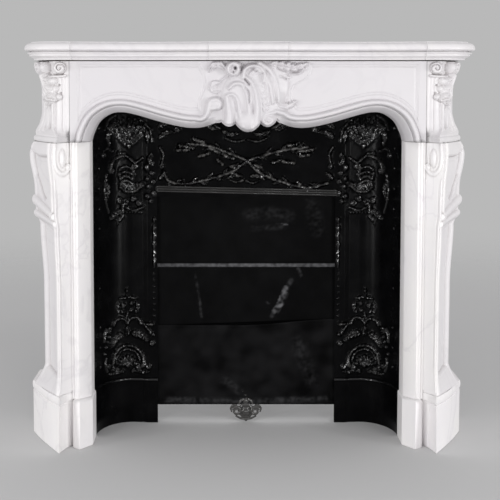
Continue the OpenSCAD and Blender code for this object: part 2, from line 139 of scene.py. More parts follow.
# ---- carving: heights over a face, at points (x, z) ----
class Carving:
    """Carved relief over a field of points. Forms are merged by height, and cuts go below them."""

    def __init__(self, x, z):
        self.x, self.z = np.asarray(x, float), np.asarray(z, float)
        self.h = np.zeros_like(self.x)
        self.cuts = np.zeros_like(self.x)

    def near(self, points, reach):
        """The index of the field's points within reach of the box round some points."""
        points = np.atleast_2d(np.array(points, float))
        lo, hi = points.min(0) - reach, points.max(0) + reach
        return np.nonzero((self.x > lo[0]) & (self.x < hi[0]) & (self.z > lo[1]) & (self.z < hi[1]))

    def along(self, path, reach):
        """For the points near a path: their index, share of its length, and signed distance to it."""
        where = self.near(path, reach)
        px, pz = self.x[where][:, None], self.z[where][:, None]
        a, d = path[:-1], np.diff(path, axis=0)
        length = np.linalg.norm(d, axis=1)
        run = np.concatenate([[0], np.cumsum(length)])
        t = ((px - a[:, 0]) * d[:, 0] + (pz - a[:, 1]) * d[:, 1]) / np.maximum(length ** 2, 1e-9)
        t = np.clip(t, 0, 1)
        dx, dz = px - a[:, 0] - t * d[:, 0], pz - a[:, 1] - t * d[:, 1]
        dist = np.hypot(dx, dz)
        k = dist.argmin(1)
        row = np.arange(len(k))
        side = np.sign(d[k, 0] * dz[row, k] - d[k, 1] * dx[row, k])
        share = (run[k] + t[row, k] * length[k]) / run[-1]
        return where, share, dist[row, k] * side

    def raise_to(self, where, height, blend=1.6):
        """Merges a form by height, with a small fillet where it meets the others."""
        old = self.h[where]
        fillet = np.clip(blend - np.abs(old - height), 0, None) ** 2 / (4 * blend)
        merged = np.maximum(old, height) + fillet * (np.minimum(old, height) > 0)
        self.h[where] = np.where(height > 0, merged, old)

    def around(self, centre, reach):
        """For the points near a centre: their index, and how far right and above it they are."""
        where = self.near(centre, reach)
        return where, self.x[where] - centre[0], self.z[where] - centre[1]

    def cut(self, where, depth):
        """Takes the deeper of a new cut and those already made."""
        self.cuts[where] = np.maximum(self.cuts[where], depth)

    def ridge(self, path, width, height, ends=(1, 1), rise=(1, 1), groove=0, shape=0.5):
        """A rounded ridge along a path. ends and rise scale its width and height at its two ends."""
        path = np.array(path, float)
        where, u, d = self.along(path, width * max(1, *ends))
        half = width * (ends[0] + (ends[1] - ends[0]) * u)
        v = np.clip(np.abs(d) / np.maximum(half, 1e-6), 0, 1)
        h = height * (rise[0] + (rise[1] - rise[0]) * u) * (1 - v ** 2) ** shape
        if groove:
            h -= groove * np.exp(-(v / 0.28) ** 2)
        self.raise_to(where, h * (v < 1))

    def leaf(self, path, width, height, lobes=6, vein=0.3, notch=0.3, tip=0.7, flow=1.2):
        """An acanthus leaf along a path: toothed edges, a sunk vein and ribs that flow to each tooth."""
        path = np.array(path, float)
        where, u, d = self.along(path, width * 1.15)
        body = np.sin(math.pi * np.clip(u, 0, 1) ** tip) ** 0.6
        tooth = (u * lobes) % 1
        half = width * np.maximum(body * (1 - notch * (1 - tooth) ** 1.5), 0.02)
        v = np.clip(np.abs(d) / half, 0, 1)
        ribs = 0.5 + 0.5 * np.cos(2 * math.pi * (u * lobes - flow * v))
        h = height * (1 - v ** 3) ** 0.7 * (0.72 + 0.28 * ribs * np.minimum(v * 3, 1))
        h -= vein * height * np.exp(-(d / (0.1 * width)) ** 2)
        inside = (v < 1) & (u > 0.004) & (u < 0.996)
        self.raise_to(where, h * inside)

    def volute(self, centre, radius, height, coils=1.8, turn=1, start=0.0):
        """A scroll end: coils that climb to an eye."""
        where, dx, dz = self.around(centre, radius)
        r = np.hypot(dx, dz) / radius
        phase = r * coils + turn * (np.arctan2(dz, dx) / (2 * math.pi)) + start
        coil = np.abs(np.sin(math.pi * phase)) ** 0.55
        h = height * (1 - 0.35 * r) * (0.42 + 0.58 * coil)
        eye = height * round_over(r, 0.24)
        h = np.maximum(h * np.clip((1 - r) * 9, 0, 1) ** 0.5, eye)
        self.raise_to(where, h * (r < 1))

    def fan(self, centre, radii, angles, ribs, height, edge=0.25):
        """A shell of ribs that spread from centre between two angles in degrees."""
        where, dx, dz = self.around(centre, radii[1])
        r = (np.hypot(dx, dz) - radii[0]) / (radii[1] - radii[0])
        a = (np.degrees(np.arctan2(dz, dx)) - angles[0]) % 360 / (angles[1] - angles[0])
        rib = np.abs(np.sin(math.pi * ribs * a)) ** 0.6
        rim = 1 - edge * (1 - rib)
        inside = (r > 0) & (r < rim) & (a > 0) & (a < 1)
        h = height * (0.45 + 0.55 * rib) * np.clip(r / rim, 0, 1) ** 0.35
        h *= np.clip((rim - r) * 6, 0, 1) ** 0.5
        self.raise_to(where, h * inside)

    def dome(self, centre, radius, height, squash=1.0):
        """A round boss, squash times as high as it is wide."""
        where, dx, dz = self.around(centre, radius * max(1, squash))
        self.raise_to(where, height * round_over(np.hypot(dx, dz / squash), radius))

    def groove(self, path, width, depth):
        """A cut along a path, fading out at its ends."""
        path = np.array(path, float)
        where, u, d = self.along(path, width * 2.2)
        self.cut(where, depth * np.exp(-(d / width) ** 2) * np.clip(np.minimum(u, 1 - u) * 12, 0, 1) ** 0.5)

    def drill(self, centre, radius, depth):
        """A drilled hole with a round lip."""
        where, dx, dz = self.around(centre, radius * 1.5)
        self.cut(where, depth * np.clip(1.3 - np.hypot(dx, dz) / radius, 0, 1) ** 0.5)

    def result(self):
        """The finished heights, with all cuts taken out."""
        return self.h - self.cuts


# ---- meshes ----
def new_mesh(name, verts, faces, angle):
    """A finished piece from points in millimetres, with flat faces only where edges are sharp."""
    mesh = bpy.data.meshes.new(name)
    mesh.from_pydata((np.asarray(verts) / 1000).tolist(), [], faces)
    shell = bmesh.new()
    shell.from_mesh(mesh)
    bmesh.ops.recalc_face_normals(shell, faces=shell.faces)
    shell.to_mesh(mesh)
    shell.free()
    piece = bpy.data.objects.new(name, mesh)
    bpy.context.scene.collection.objects.link(piece)
    bpy.ops.object.select_all(action="DESELECT")
    piece.select_set(True)
    bpy.context.view_layer.objects.active = piece
    bpy.ops.object.shade_smooth_by_angle(angle=math.radians(angle))
    return piece


def loft(name, rings, angle, hollow_shade=None, bare_and_painted_light=None, pale=None, strips=False):
    """A closed skin over rings of points with flat ends, in strips across them if wanted, and its masks.
    Left pieces are the right ones mirrored."""
    rings = np.array(rings, float)
    mirrored = name.startswith("left_")
    if mirrored:
        rings[:, :, 0] *= -1
    m, n = rings.shape[:2]
    i, j = np.meshgrid(np.arange(m - 1), np.arange(n), indexing="ij")
    k = (j + 1) % n
    quads = np.stack([i * n + j, i * n + k, (i + 1) * n + k, (i + 1) * n + j], axis=-1).reshape(-1, 4)
    ends = [list(range(n))[::-1], list(range((m - 1) * n, m * n))]
    if strips:
        ends = [[e[c], e[c + 1], e[n - 2 - c], e[n - 1 - c]] for e in ends for c in range(n // 2 - 1)]
    faces = quads.tolist() + ends
    if mirrored:
        faces = [f[::-1] for f in faces]
    piece = new_mesh(name, rings.reshape(-1, 3), faces, angle)
    for end in range(len(quads), len(faces)):
        piece.data.polygons[end].use_smooth = False
    for label, field in (("cavity", hollow_shade), ("bare_and_painted_light", bare_and_painted_light), ("pale", pale)):
        if field is not None:
            mask = piece.data.attributes.new(label, "FLOAT", "POINT")
            field = np.clip(np.broadcast_to(field, (m, n)), 0, 1)
            mask.data.foreach_set("value", field.astype(np.float32).ravel())
    return piece


def joined(pieces):
    """One piece from several, under the first one's name."""
    bpy.ops.object.select_all(action="DESELECT")
    for piece in pieces:
        piece.select_set(True)
    bpy.context.view_layer.objects.active = pieces[0]
    bpy.ops.object.join()
    return pieces[0]


def blurred(field, passes):
    """A field of heights after it is averaged with its neighbours a number of times."""
    f = field.copy()
    for _ in range(passes):
        p = np.pad(f, 1, mode="edge")
        f = (p[1:-1, 1:-1] * 2 + p[:-2, 1:-1] + p[2:, 1:-1] + p[1:-1, :-2] + p[1:-1, 2:]) / 6
    return f


def cavity_of(height, depth=3.0, passes=14):
    """How far each point lies in a hollow: 1 at depth millimetres below its surroundings."""
    return np.clip((blurred(height, passes) - height) / depth, 0, 1)


def patchy(shape, seed, passes=5):
    """Soft seeded noise between 0 and 1."""
    noise = blurred(np.random.default_rng(seed).random(shape), passes)
    return np.clip((noise - noise.mean()) / (4 * noise.std()) + 0.5, 0, 1)


# ---- materials ----
def new_node(nodes, kind, **values):
    """A shader node with values on its sockets; an underscore stands for a space in a socket's name."""
    node = nodes.new(kind)
    for name, value in values.items():
        node.inputs[name.replace("_", " ")].default_value = value
    return node


def wear_and_light_group():
    """Wear and painted light for any finish: a cloudy tone, fine grain, and the masks that the pieces carry,
    among them painted shade and painted highlights.
    """
    g = bpy.data.node_groups.new("Tone, dirt and painted light", "ShaderNodeTree")
    for name in ("Scale", "Cloud"):
        g.interface.new_socket(name=name, in_out="INPUT", socket_type="NodeSocketFloat")
    for name in ("Cloudiness", "Grain", "Hollow", "Bare and painted light", "Pale"):
        g.interface.new_socket(name=name, in_out="OUTPUT", socket_type="NodeSocketFloat")
    n, link = g.nodes, g.links.new
    enter, leave = n.new("NodeGroupInput"), n.new("NodeGroupOutput")
    place = n.new("ShaderNodeTexCoord")
    cloud = new_node(n, "ShaderNodeTexNoise", Detail=6, Roughness=0.6)
    grain = new_node(n, "ShaderNodeTexNoise", Scale=420, Detail=3)
    tone = new_node(n, "ShaderNodeMapRange", From_Min=0.38, From_Max=0.66)
    for noise in (cloud, grain):
        link(place.outputs["Object"], noise.inputs["Vector"])
    link(enter.outputs["Scale"], cloud.inputs["Scale"])
    link(enter.outputs["Cloud"], tone.inputs["To Max"])
    link(cloud.outputs["Fac"], tone.inputs["Value"])
    link(tone.outputs["Result"], leave.inputs["Cloudiness"])
    link(grain.outputs["Fac"], leave.inputs["Grain"])
    for label, output in (("cavity", "Hollow"), ("bare_and_painted_light", "Bare and painted light"), ("pale", "Pale")):
        mask = n.new("ShaderNodeAttribute")
        mask.attribute_name = label
        link(mask.outputs["Fac"], leave.inputs[output])
    return g


def mix_colour(nodes, link, mask, a, b):
    """A colour that goes from a to b with a mask; a and b are colours or sockets."""
    mix = nodes.new("ShaderNodeMix")
    mix.data_type = "RGBA"
    for name, value in (("A", a), ("B", b)):
        spot = next(s for s in mix.inputs if s.name == name and s.type == "RGBA")
        if isinstance(value, tuple):
            spot.default_value = (*value, 1)
        else:
            link(value, spot)
    link(mask, mix.inputs["Factor"])
    return next(s for s in mix.outputs if s.type == "RGBA")


def start_material(name):
    """A new material with its nodes, its link function and its main shader."""
    mat = bpy.data.materials.new(name)
    mat.use_nodes = True
    return mat, mat.node_tree.nodes, mat.node_tree.links.new, mat.node_tree.nodes["Principled BSDF"]


def wear_and_light_material(name, scale, cloud, roughness, grain_depth, grain_strength):
    """A material with the shared tone, dirt and painted-light masks, a roughness that follows its clouds, and
    a fine grain.
    """
    mat, nodes, link, shader = start_material(name)
    wear_and_light = nodes.new("ShaderNodeGroup")
    wear_and_light.node_tree = WEAR_AND_LIGHT
    wear_and_light.inputs["Scale"].default_value = scale
    wear_and_light.inputs["Cloud"].default_value = cloud
    rough = new_node(nodes, "ShaderNodeMapRange", To_Min=roughness[0], To_Max=roughness[1])
    link(wear_and_light.outputs["Cloudiness"], rough.inputs["Value"])
    link(rough.outputs["Result"], shader.inputs["Roughness"])
    bump = new_node(nodes, "ShaderNodeBump", Distance=grain_depth, Strength=grain_strength)
    link(wear_and_light.outputs["Grain"], bump.inputs["Height"])
    link(bump.outputs["Normal"], shader.inputs["Normal"])
    return mat, nodes, link, shader, wear_and_light.outputs


def marble():
    """Honed white marble: faint lilac clouds, thin grey veins, grey painted shade in the carving that also
    stands for dust, a darker grey painted as shade on some pieces and faces, and dark joints whose colour also
    paints the shade in them.
    """
    mat, nodes, link, shader, wear_and_light = wear_and_light_material("White marble", 5.5, 0.75, (0.36, 0.5), 0.0002, 0.4)
    place = nodes.new("ShaderNodeTexCoord")
    vein = new_node(nodes, "ShaderNodeTexNoise", Scale=3.4, Detail=7, Distortion=1.3)
    link(place.outputs["Object"], vein.inputs["Vector"])
    # A vein is where the noise passes its middle value.
    off = nodes.new("ShaderNodeMath")
    off.operation = "SUBTRACT"
    off.inputs[1].default_value = 0.52
    link(vein.outputs["Fac"], off.inputs[0])
    near = nodes.new("ShaderNodeMath")
    near.operation = "ABSOLUTE"
    link(off.outputs[0], near.inputs[0])
    thin = new_node(nodes, "ShaderNodeMapRange", From_Min=0.0, From_Max=0.028, To_Min=0.3, To_Max=0.0)
    link(near.outputs[0], thin.inputs["Value"])
    tone = (0.862, 0.842, 0.832)
    # Over the base tone: lilac clouds and veins, grey painted shade in the hollows that also stands for dust,
    # a darker grey painted as shade on some pieces and faces, and a nearly black joint colour that also paints
    # the shade in the gaps.
    layers = [(wear_and_light["Cloudiness"], (0.805, 0.782, 0.802)), (thin.outputs["Result"], (0.60, 0.575, 0.60)),
              (wear_and_light["Hollow"], (0.44, 0.41, 0.39)), (wear_and_light["Pale"], (0.565, 0.545, 0.565)),
              (wear_and_light["Bare and painted light"], (0.05, 0.045, 0.04))]
    for mask, colour in layers:
        tone = mix_colour(nodes, link, mask, tone, colour)
    link(tone, shader.inputs["Base Color"])
    return mat


def cast_iron():
    """Black-leaded cast iron: a graphite sheen on its crests, pale spots that are partly polished metal and
    partly painted glints, and painted shade in its hollows.
    """
    mat, nodes, link, shader, wear_and_light = wear_and_light_material("Black cast iron", 14, 1.0, (0.17, 0.3), 0.0004, 0.5)
    tone = mix_colour(nodes, link, wear_and_light["Cloudiness"], (0.0014, 0.0014, 0.0016), (0.0032, 0.0032, 0.0035))
    # Painted shade darkens the hollows; the pale spots are partly polished metal and partly painted glints.
    deep = mix_colour(nodes, link, wear_and_light["Hollow"], tone, (0.0007, 0.0007, 0.0007))
    link(mix_colour(nodes, link, wear_and_light["Pale"], deep, (0.085, 0.083, 0.08)), shader.inputs["Base Color"])
    shader.inputs["Specular IOR Level"].default_value = 0.045
    shader.inputs["Coat Roughness"].default_value = 0.09
    link(wear_and_light["Bare and painted light"], shader.inputs["Coat Weight"])
    return mat


def sheet_iron():
    """Blackened sheet, cloudy from heat, pale where it has been scuffed, and pale along a deep folded lip:
    partly metal showing through, partly a painted highlight.
    """
    mat, nodes, link, shader, wear_and_light = wear_and_light_material("Black sheet iron", 9, 1.0, (0.36, 0.48), 0.0002, 0.3)
    tone = mix_colour(nodes, link, wear_and_light["Cloudiness"], (0.0008, 0.0008, 0.0009), (0.0018, 0.0018, 0.0020))
    # Pale where scuffed, and pale on a deep folded lip that is partly metal showing through and partly a
    # painted highlight.
    link(mix_colour(nodes, link, wear_and_light["Bare and painted light"], tone, (0.105, 0.105, 0.11)), shader.inputs["Base Color"])
    shader.inputs["Specular IOR Level"].default_value = 0.045
    return mat


WEAR_AND_LIGHT = wear_and_light_group()
MARBLE, CAST_IRON, SHEET_IRON = marble(), cast_iron(), sheet_iron()


def finish_piece(piece, material, slot, body, *nodes):
    """Gives a piece its finish, its place in the record and the CAD nodes that it stands for."""
    piece.data.materials.clear()
    piece.data.materials.append(material)
    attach(piece, body)
    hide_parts(*nodes)
    return piece


def marble_piece(piece, *nodes):
    """Finishes a fixed piece in marble."""
    return finish_piece(piece, MARBLE, "white_marble", "mantel", *nodes)


def iron_piece(piece, *nodes):
    """Finishes a fixed piece in cast iron."""
    return finish_piece(piece, CAST_IRON, "black_cast_iron", "mantel", *nodes)


# ---- shelf ----
SHELF_NOSE = TIP_Y - shelf_lo[1]      # how far the shelf's front stands before the plinths' tips
SHELF_MIDDLE = 102                    # half the width of its straight middle
SHELF_SAG = 20
SHELF_STEP = 4                        # depth of the small steps beside the hollows
EAR_X = SEAM_X - 10                   # where the shelf's plain ends begin
END_X = shelf_hi[0] - 11
CORNER_R = 85
SHORT_END = 0.077                     # how much less the left end overhangs


def shelf_front():
    """The shelf's front edge from its left end round to its right end, as [x, depth]."""
    x = np.linspace(0, SHELF_MIDDLE, 12)
    middle = np.stack([x, -SHELF_NOSE + SHELF_STEP * (x / SHELF_MIDDLE) ** 2], axis=1)
    u = np.linspace(0, 1, 45)
    hollow = np.stack([SHELF_MIDDLE + 1.5 + (EAR_X - SHELF_MIDDLE - 1.5) * u,
                       -SHELF_NOSE + 2 * SHELF_STEP + SHELF_SAG * np.sin(math.pi * u)], axis=1)
    a = np.radians(np.linspace(90, 0, 28))
    corner = np.stack([END_X - CORNER_R + CORNER_R * np.cos(a),
                       -SHELF_NOSE + SHELF_STEP + CORNER_R * 1.1 * (1 - np.sin(a))], axis=1)
    half = np.vstack([middle, hollow, [[EAR_X + 1.5, -SHELF_NOSE + SHELF_STEP]], corner])
    return np.vstack([half[1:][::-1] * [-1, 1], half])


def shelf_profile():
    """The moulded edge from the underside up, as [inset, share of the thickness]."""
    bead = np.linspace([10.5, 0.31], [10.5, 0.43], 7)
    bead[:, 0] -= 2.6 * np.sin(np.linspace(0, math.pi, 7))
    under, over = np.linspace(0.05, 0.5, 9) * math.pi, np.linspace(0.03, 0.5, 9) * math.pi
    return np.vstack([
        [[27, 0], [26, 0.07]],
        np.linspace([24, 0.09], [15, 0.2], 7),
        [[13.5, 0.22], [13, 0.3], [10.5, 0.31]],
        bead,
        [[19, 0.455], [19, 0.485]],
        np.stack([9.5 * (1 - np.sin(under)), 0.49 + 0.12 * (1 - np.cos(under))], 1),
        np.stack([16 * (1 - np.cos(over)), 0.61 + 0.33 * np.sin(over)], 1),
        [[18, 0.95], [18.5, 0.985], [20, 1.0]],
    ])


def shelf():
    """The moulded shelf, with a flat back at the wall."""
    front = shelf_front()
    n = normals_of(front)
    n[np.abs(front[:, 0]) < EAR_X + 2] = [0, -1]
    n[0], n[-1] = [-1, 0], [1, 0]
    rings = []
    for inset, share in shelf_profile():
        row = front - n * inset
        row = np.vstack([row, np.column_stack([row[::-1, 0], np.full(len(row), WALL_T)])])
        row[:, 0] -= SHORT_END * np.minimum(row[:, 0] + SEAM_X, 0)
        rings.append(ring_at(row, TOP_Z + share * (shelf_hi[2] - TOP_Z)))
    # The whole shelf gets a darker grey painted as shade.
    return loft("shelf_moulded", rings, 32, pale=0.5, strips=True)


# ---- frieze ----
# The opening's arched edge from the jamb to the cartouche, as shares of OPEN_X and CROWN_H.
EDGE = [[1, 0], [0.985, 0.27], [0.945, 0.67], [0.875, 0.93], [0.8, 1], [0.71, 0.92],
        [0.52, 0.63], [0.38, 0.48], [0.28, 0.5], [0.2, 0.66]]
# The cartouche's lower edge: [end x, end height over the seam, sag] of each lobe.
LOBES = [[-70, 54, 1], [-33, 50, 9], [33, 51, 23], [76, 58, 13], [84, 52, 1]]
GOES_IN = 0.2                         # where the arched edge meets the cartouche, as a share of OPEN_X
FIELD_W = MOULDING_W + 4              # the band along the edge where rows keep to the edge's shape


def side_edge(count):
    """The right half of the arched edge, and its directions into the marble."""
    edge = smooth_line([[x * OPEN_X, SEAM_Z + z * CROWN_H] for x, z in EDGE], count)
    d = np.gradient(edge, axis=0)
    d /= np.linalg.norm(d, axis=1, keepdims=True)
    out = np.stack([-d[:, 1], d[:, 0]], axis=1)
    out[out[:, 1] < 0] *= -1
    return edge, out


def lobe_edge(step=1.6):
    """The scalloped lower edge of the cartouche."""
    points, a = [], [-GOES_IN * OPEN_X, 0.66 * CROWN_H]
    for b in LOBES:
        u = np.linspace(0, 1, int(abs(b[0] - a[0]) / step) + 3)[1:, None]
        x = a[0] + (b[0] - a[0]) * u
        z = SEAM_Z + a[1] + (b[1] - a[1]) * u - b[2] * np.sin(math.pi * u) ** 0.8
        points.append(np.hstack([x, z]))
        a = b
    return np.vstack(points)[:-1]


def field_rows(low, out, border):
    """Stations out from the lower edge and on to the border, and their distance from the edge."""
    s = np.linspace(0, FIELD_W, 36)
    k = np.linspace(0, 1, 92)[1:]
    start = low + out * FIELD_W
    near = low[:, None] + out[:, None] * s[None, :, None]
    far = start[:, None] + (border - start)[:, None] * k[None, :, None]
    dist = np.linalg.norm(far - start[:, None], axis=2)
    dist = np.concatenate([np.tile(s, (len(low), 1)), FIELD_W + dist], axis=1)
    return np.concatenate([near, far], axis=1), dist


def frieze_field():
    """Sample points of the face: [station, row] arrays of x, z and the distance s from the lower edge."""
    count, corner = 250, 34
    edge, out = side_edge(count)
    out[0] = [1, 0]
    rise = np.stack([np.full(corner + 1, SEAM_X), np.linspace(SEAM_Z, TOP_Z, corner + 1)], axis=1)
    # Stations crowd toward the carved middle.
    v = np.arange(1, count - corner) / (count - 1 - corner)
    crowded = 0.35 * v + 0.65 * (1 - (1 - v) ** 2)
    over = np.stack([SEAM_X + (GOES_IN * OPEN_X - SEAM_X) * crowded, np.full(len(v), TOP_Z)], axis=1)
    right, dist = field_rows(edge, out, np.vstack([rise, over]))
    lobes = lobe_edge()
    top = np.stack([lobes[:, 0], np.full(len(lobes), TOP_Z)], axis=1)
    middle, middle_dist = field_rows(lobes, np.tile([0, 1.0], (len(lobes), 1)), top)
    points = np.concatenate([right * [-1, 1], middle, right[::-1]], axis=0)
    is_side = np.concatenate([np.ones(count), np.zeros(len(lobes)), np.ones(count)])[:, None]
    s = np.concatenate([dist, middle_dist, dist[::-1]], axis=0)
    return points[..., 0], points[..., 1], s, is_side


def moulding_scale(x):
    """The moulding draws in toward the carved middle."""
    return 0.82 + 0.18 * ease((np.abs(x) - 84) / 60)


def moulding_path(side, count=170):
    """The middle line of the moulding's round, from the seam to where it curls into its volute."""
    edge, out = side_edge(240)
    line = edge + out * 27 * moulding_scale(edge[:, :1])
    line = np.vstack([line[:1] - [0, 12], line])
    if side < 0:
        line = line[line[:, 0] > 140] * [-1, 1]
        line = np.vstack([line, [[-124, TOP_Z - 156], [-110, TOP_Z - 147], [-104, TOP_Z - 132]]])
        curl = spiral((-85, TOP_Z - 117), 18, 1.4, 190, clockwise=True)
    else:
        line = line[line[:, 0] > 124]
        line = np.vstack([line, [[108, TOP_Z - 149], [92, TOP_Z - 139], [76, TOP_Z - 135]]])
        curl = spiral((54, TOP_Z - 158), 19, 1.6, 75)
    return evenly(smooth_line(evenly(np.vstack([line, curl]), 60), 300), count)


def cartouche(c):
    """The carved rocaille in the middle of the frieze. Heights are measured down from the frieze's top."""
    def at(*points):
        return smooth_line([[x, TOP_Z - z] for x, z in points], 30)

    # A soft swell that carries everything.
    c.dome((4, TOP_Z - 104), 76, 21, squash=1.1)
    c.dome((62, TOP_Z - 66), 46, 14, squash=1.3)
    # Fluted band that sweeps from the top over to the right.
    c.ridge(at((30, 10), (54, 25), (70, 50), (78, 82), (82, 108), (92, 122)), 10, 19,
            ends=(0.9, 0.5), groove=2)
    c.ridge(at((24, 24), (44, 40), (57, 64), (62, 92), (66, 112)), 9, 21, ends=(0.8, 0.6), groove=1.5)
    c.ridge(at((44, 48), (50, 72), (52, 96), (54, 116)), 8, 21, ends=(0.6, 0.7))
    c.leaf(at((44, 138), (46, 112), (42, 88), (30, 66)), 15, 24, lobes=5, notch=0.3, vein=0.2)
    c.ridge(at((84, 28), (92, 52), (92, 80), (90, 108)), 7, 12, ends=(0.6, 0.6), groove=1.5)
    # Short ribs between the band and the middle.
    for k in range(4):
        c.ridge(at((28, 70 + 12 * k), (42, 76 + 10 * k), (56, 86 + 8 * k)), 5, 20, rise=(1, 0.8))
    for k in range(2):
        c.ridge(at((34, 118 + 9 * k), (58, 122 + 8 * k), (82, 122 + 6 * k)), 4.2, 17, rise=(1, 0.6))
    # Leaf that rolls over beside the ring.
    c.ridge(at((-14, 48), (-8, 26), (10, 15), (32, 20), (43, 38), (40, 58)), 8.5, 25, ends=(0.7, 0.8))
    c.leaf(at((0, 56), (10, 38), (30, 34)), 12, 20, lobes=3)
    c.drill((23, TOP_Z - 30), 2.4, 9)
    c.drill((38, TOP_Z - 36), 2.4, 9)
    # Wing leaf at the upper right, with the dark fold below it.
    c.leaf(at((60, 8), (92, 15), (126, 19), (160, 8)), 15, 19, lobes=6, notch=0.38, flow=0.7)
    c.ridge(at((70, 22), (100, 33), (132, 35), (150, 22)), 5, 12, ends=(0.6, 0.5))
    c.groove(at((74, 22), (106, 33), (142, 31)), 1.8, 9)
    c.leaf(at((80, 34), (96, 44), (112, 46)), 9, 11, lobes=3)
    c.groove(at((82, 39), (92, 46), (103, 50)), 1.8, 9)
    c.drill((100, TOP_Z - 8), 2.4, 10)
    c.drill((122, TOP_Z - 12), 2.4, 10)
    # Toothed leaf at the lower right.
    c.leaf(at((64, 108), (88, 119), (108, 120), (128, 106)), 11, 15, lobes=5, notch=0.45)
    c.drill((92, TOP_Z - 112), 2, 7)
    c.drill((108, TOP_Z - 112), 2, 7)
    # Ring scroll with its drilled eye.
    c.ridge(spiral((-38, TOP_Z - 24), 16, 1.1, 40, end_radius=0.7), 7.5, 26)
    c.dome((-38, TOP_Z - 24), 11, 19)
    c.drill((-33, TOP_Z - 21), 3.4, 24)
    c.drill((-38, TOP_Z - 33), 2, 12)
    # Leaf and stem at the upper left, with a small scroll leaf under them.
    c.leaf(at((-58, 22), (-76, 12), (-94, 16), (-103, 32)), 11, 13, lobes=3, notch=0.3)
    c.drill((-83, TOP_Z - 15), 2.2, 9)
    c.ridge(at((-50, 38), (-62, 47), (-76, 58)), 2.6, 8, ends=(1, 0.5))
    c.leaf(at((-74, 60), (-88, 60), (-96, 72), (-88, 84), (-74, 82)), 8, 11, lobes=3, notch=0.25)
    # Long ribs that hook over at the left and run down into the big lobe.
    c.ridge(at((-49, 74), (-37, 63), (-18, 63), (-5, 82), (1, 110), (4, 142), (12, 176)), 12, 34,
            ends=(0.55, 1.1), rise=(0.75, 0.95))
    c.ridge(at((-50, 90), (-38, 91), (-27, 106), (-22, 134), (-12, 172)), 11, 28,
            ends=(0.55, 1.1), rise=(0.8, 1))
    c.ridge(at((-8, 44), (8, 58), (20, 88), (24, 126), (20, 168)), 12.5, 32, ends=(0.5, 1.1), rise=(0.8, 1))
    c.ridge(at((-56, 96), (-52, 118), (-49, 144), (-51, 170)), 14, 23, ends=(0.6, 1))
    c.dome((0, TOP_Z - 158), 33, 33, squash=0.94)
    c.groove(at((-11, 68), (0, 84), (3, 114)), 1.8, 12)
    c.groove(at((-9, 49), (5, 66)), 1.8, 12)
    c.groove(at((-42, 96), (-34, 112), (-29, 138)), 1.8, 4)


def frieze():
    """The carved frieze: moulding at the arched edge, sunk panels and the cartouche."""
    x, z, s, is_side = frieze_field()
    c = Carving(x, z)
    cartouche(c)
    for side in (-1, 1):
        c.ridge(moulding_path(side), 7.6, 9.5, rise=(1, 2))
    c.dome((-86, TOP_Z - 116), 9, 20)
    c.dome((54, TOP_Z - 158), 8, 24)
    c.dome((54, TOP_Z - 158), 23, 15)
    carved = blurred(c.result(), 2)
    # The cove at the opening's edge, and the quirks on both sides of the round.
    far = np.abs(x)
    scale = moulding_scale(x)
    w = s / scale
    cove_w = 19
    cove = (EDGE_T - FACE_T - 9) * (1 - np.clip(w / cove_w, 0, 1)) ** 1.6 + 8 * scale
    cove = np.where(w < cove_w, cove, 0) * (0.25 + 0.75 * ease((far - 82) / 30))
    quirk = 4.5 * np.exp(-((w - 19.2) / 1.5) ** 2) + 2.5 * np.exp(-((w - 35) / 1.5) ** 2)
    plain = np.clip((far - 120) / 30, 0, 1)
    shape = is_side * (cove + quirk * plain) + (1 - is_side) * 9 * (1 - ease(s / 9))
    # Sunk panels with a double border; their inner ends follow the rocaille.
    down = TOP_Z - z
    left_end = -126 + 16 * np.sin(math.pi * np.clip((down - 14) / 91, 0, 1))
    right_end = np.interp(down, [0, 22, 38, 50, 58, 66, 82, 100, 126, 150],
                          [163, 163, 158, 147, 131, 117, 110, 111, 124, 146])
    inner = np.where(x < 0, left_end - x, x - right_end)
    inside = np.minimum.reduce([SEAM_X - 22 - far, down - 11, s - 47, inner])
    panel = 2.4 * ease((inside + 1.5) / 3) + 1.5 * np.exp(-((inside - 6.5) / 1.3) ** 2)
    # A very slight unevenness of hand rubbing, and the joint under the shelf.
    uneven = 0.25 * np.sin(x / 31 + 1.3 * np.sin(z / 23)) * np.sin(z / 27)
    joint = ease((z - TOP_Z + 3.2) / 2)
    carved = carved * (1 - joint) - 7 * joint
    t = FACE_T + shape + panel * np.clip(1 - carved / 3, 0, 1) + uneven - carved
    front = np.stack([x, t + TIP_Y, z], axis=-1)
    back = np.stack([x, np.full(x.shape, BACK_T + TIP_Y), z], axis=-1)
    rings = np.concatenate([back[:, :1], front, back[:, -1:]], axis=1)
    # Joints under the shelf and at the frieze's ends get a nearly black joint colour that also paints the
    # shade in these gaps. Hollows of the carving get painted shade, and the whole frieze a darker grey painted
    # as shade.
    seam = joint.copy()
    seam[[0, -1]] = 0.7
    seam[far > SEAM_X - 0.5] = 0.85
    hollow_shade, bare_and_painted_light = (np.pad(mask, ((0, 0), (1, 1))) for mask in (cavity_of(-t, 7, 12), seam))
    return loft("frieze_carved", rings, 50, hollow_shade=hollow_shade, bare_and_painted_light=bare_and_painted_light, pale=0.8)


# ---- legs ----
# Plan of a right plinth or collar from the seam round its tip to the outer side, as [x, depth].
PROW = [[SEAM_X, SEAM_T], [SEAM_X + 15, 32], [SEAM_X + 28, -8], [SEAM_X + 65, 49], [SEAM_X + 99, 119],
        [PLINTH_X, 191]]


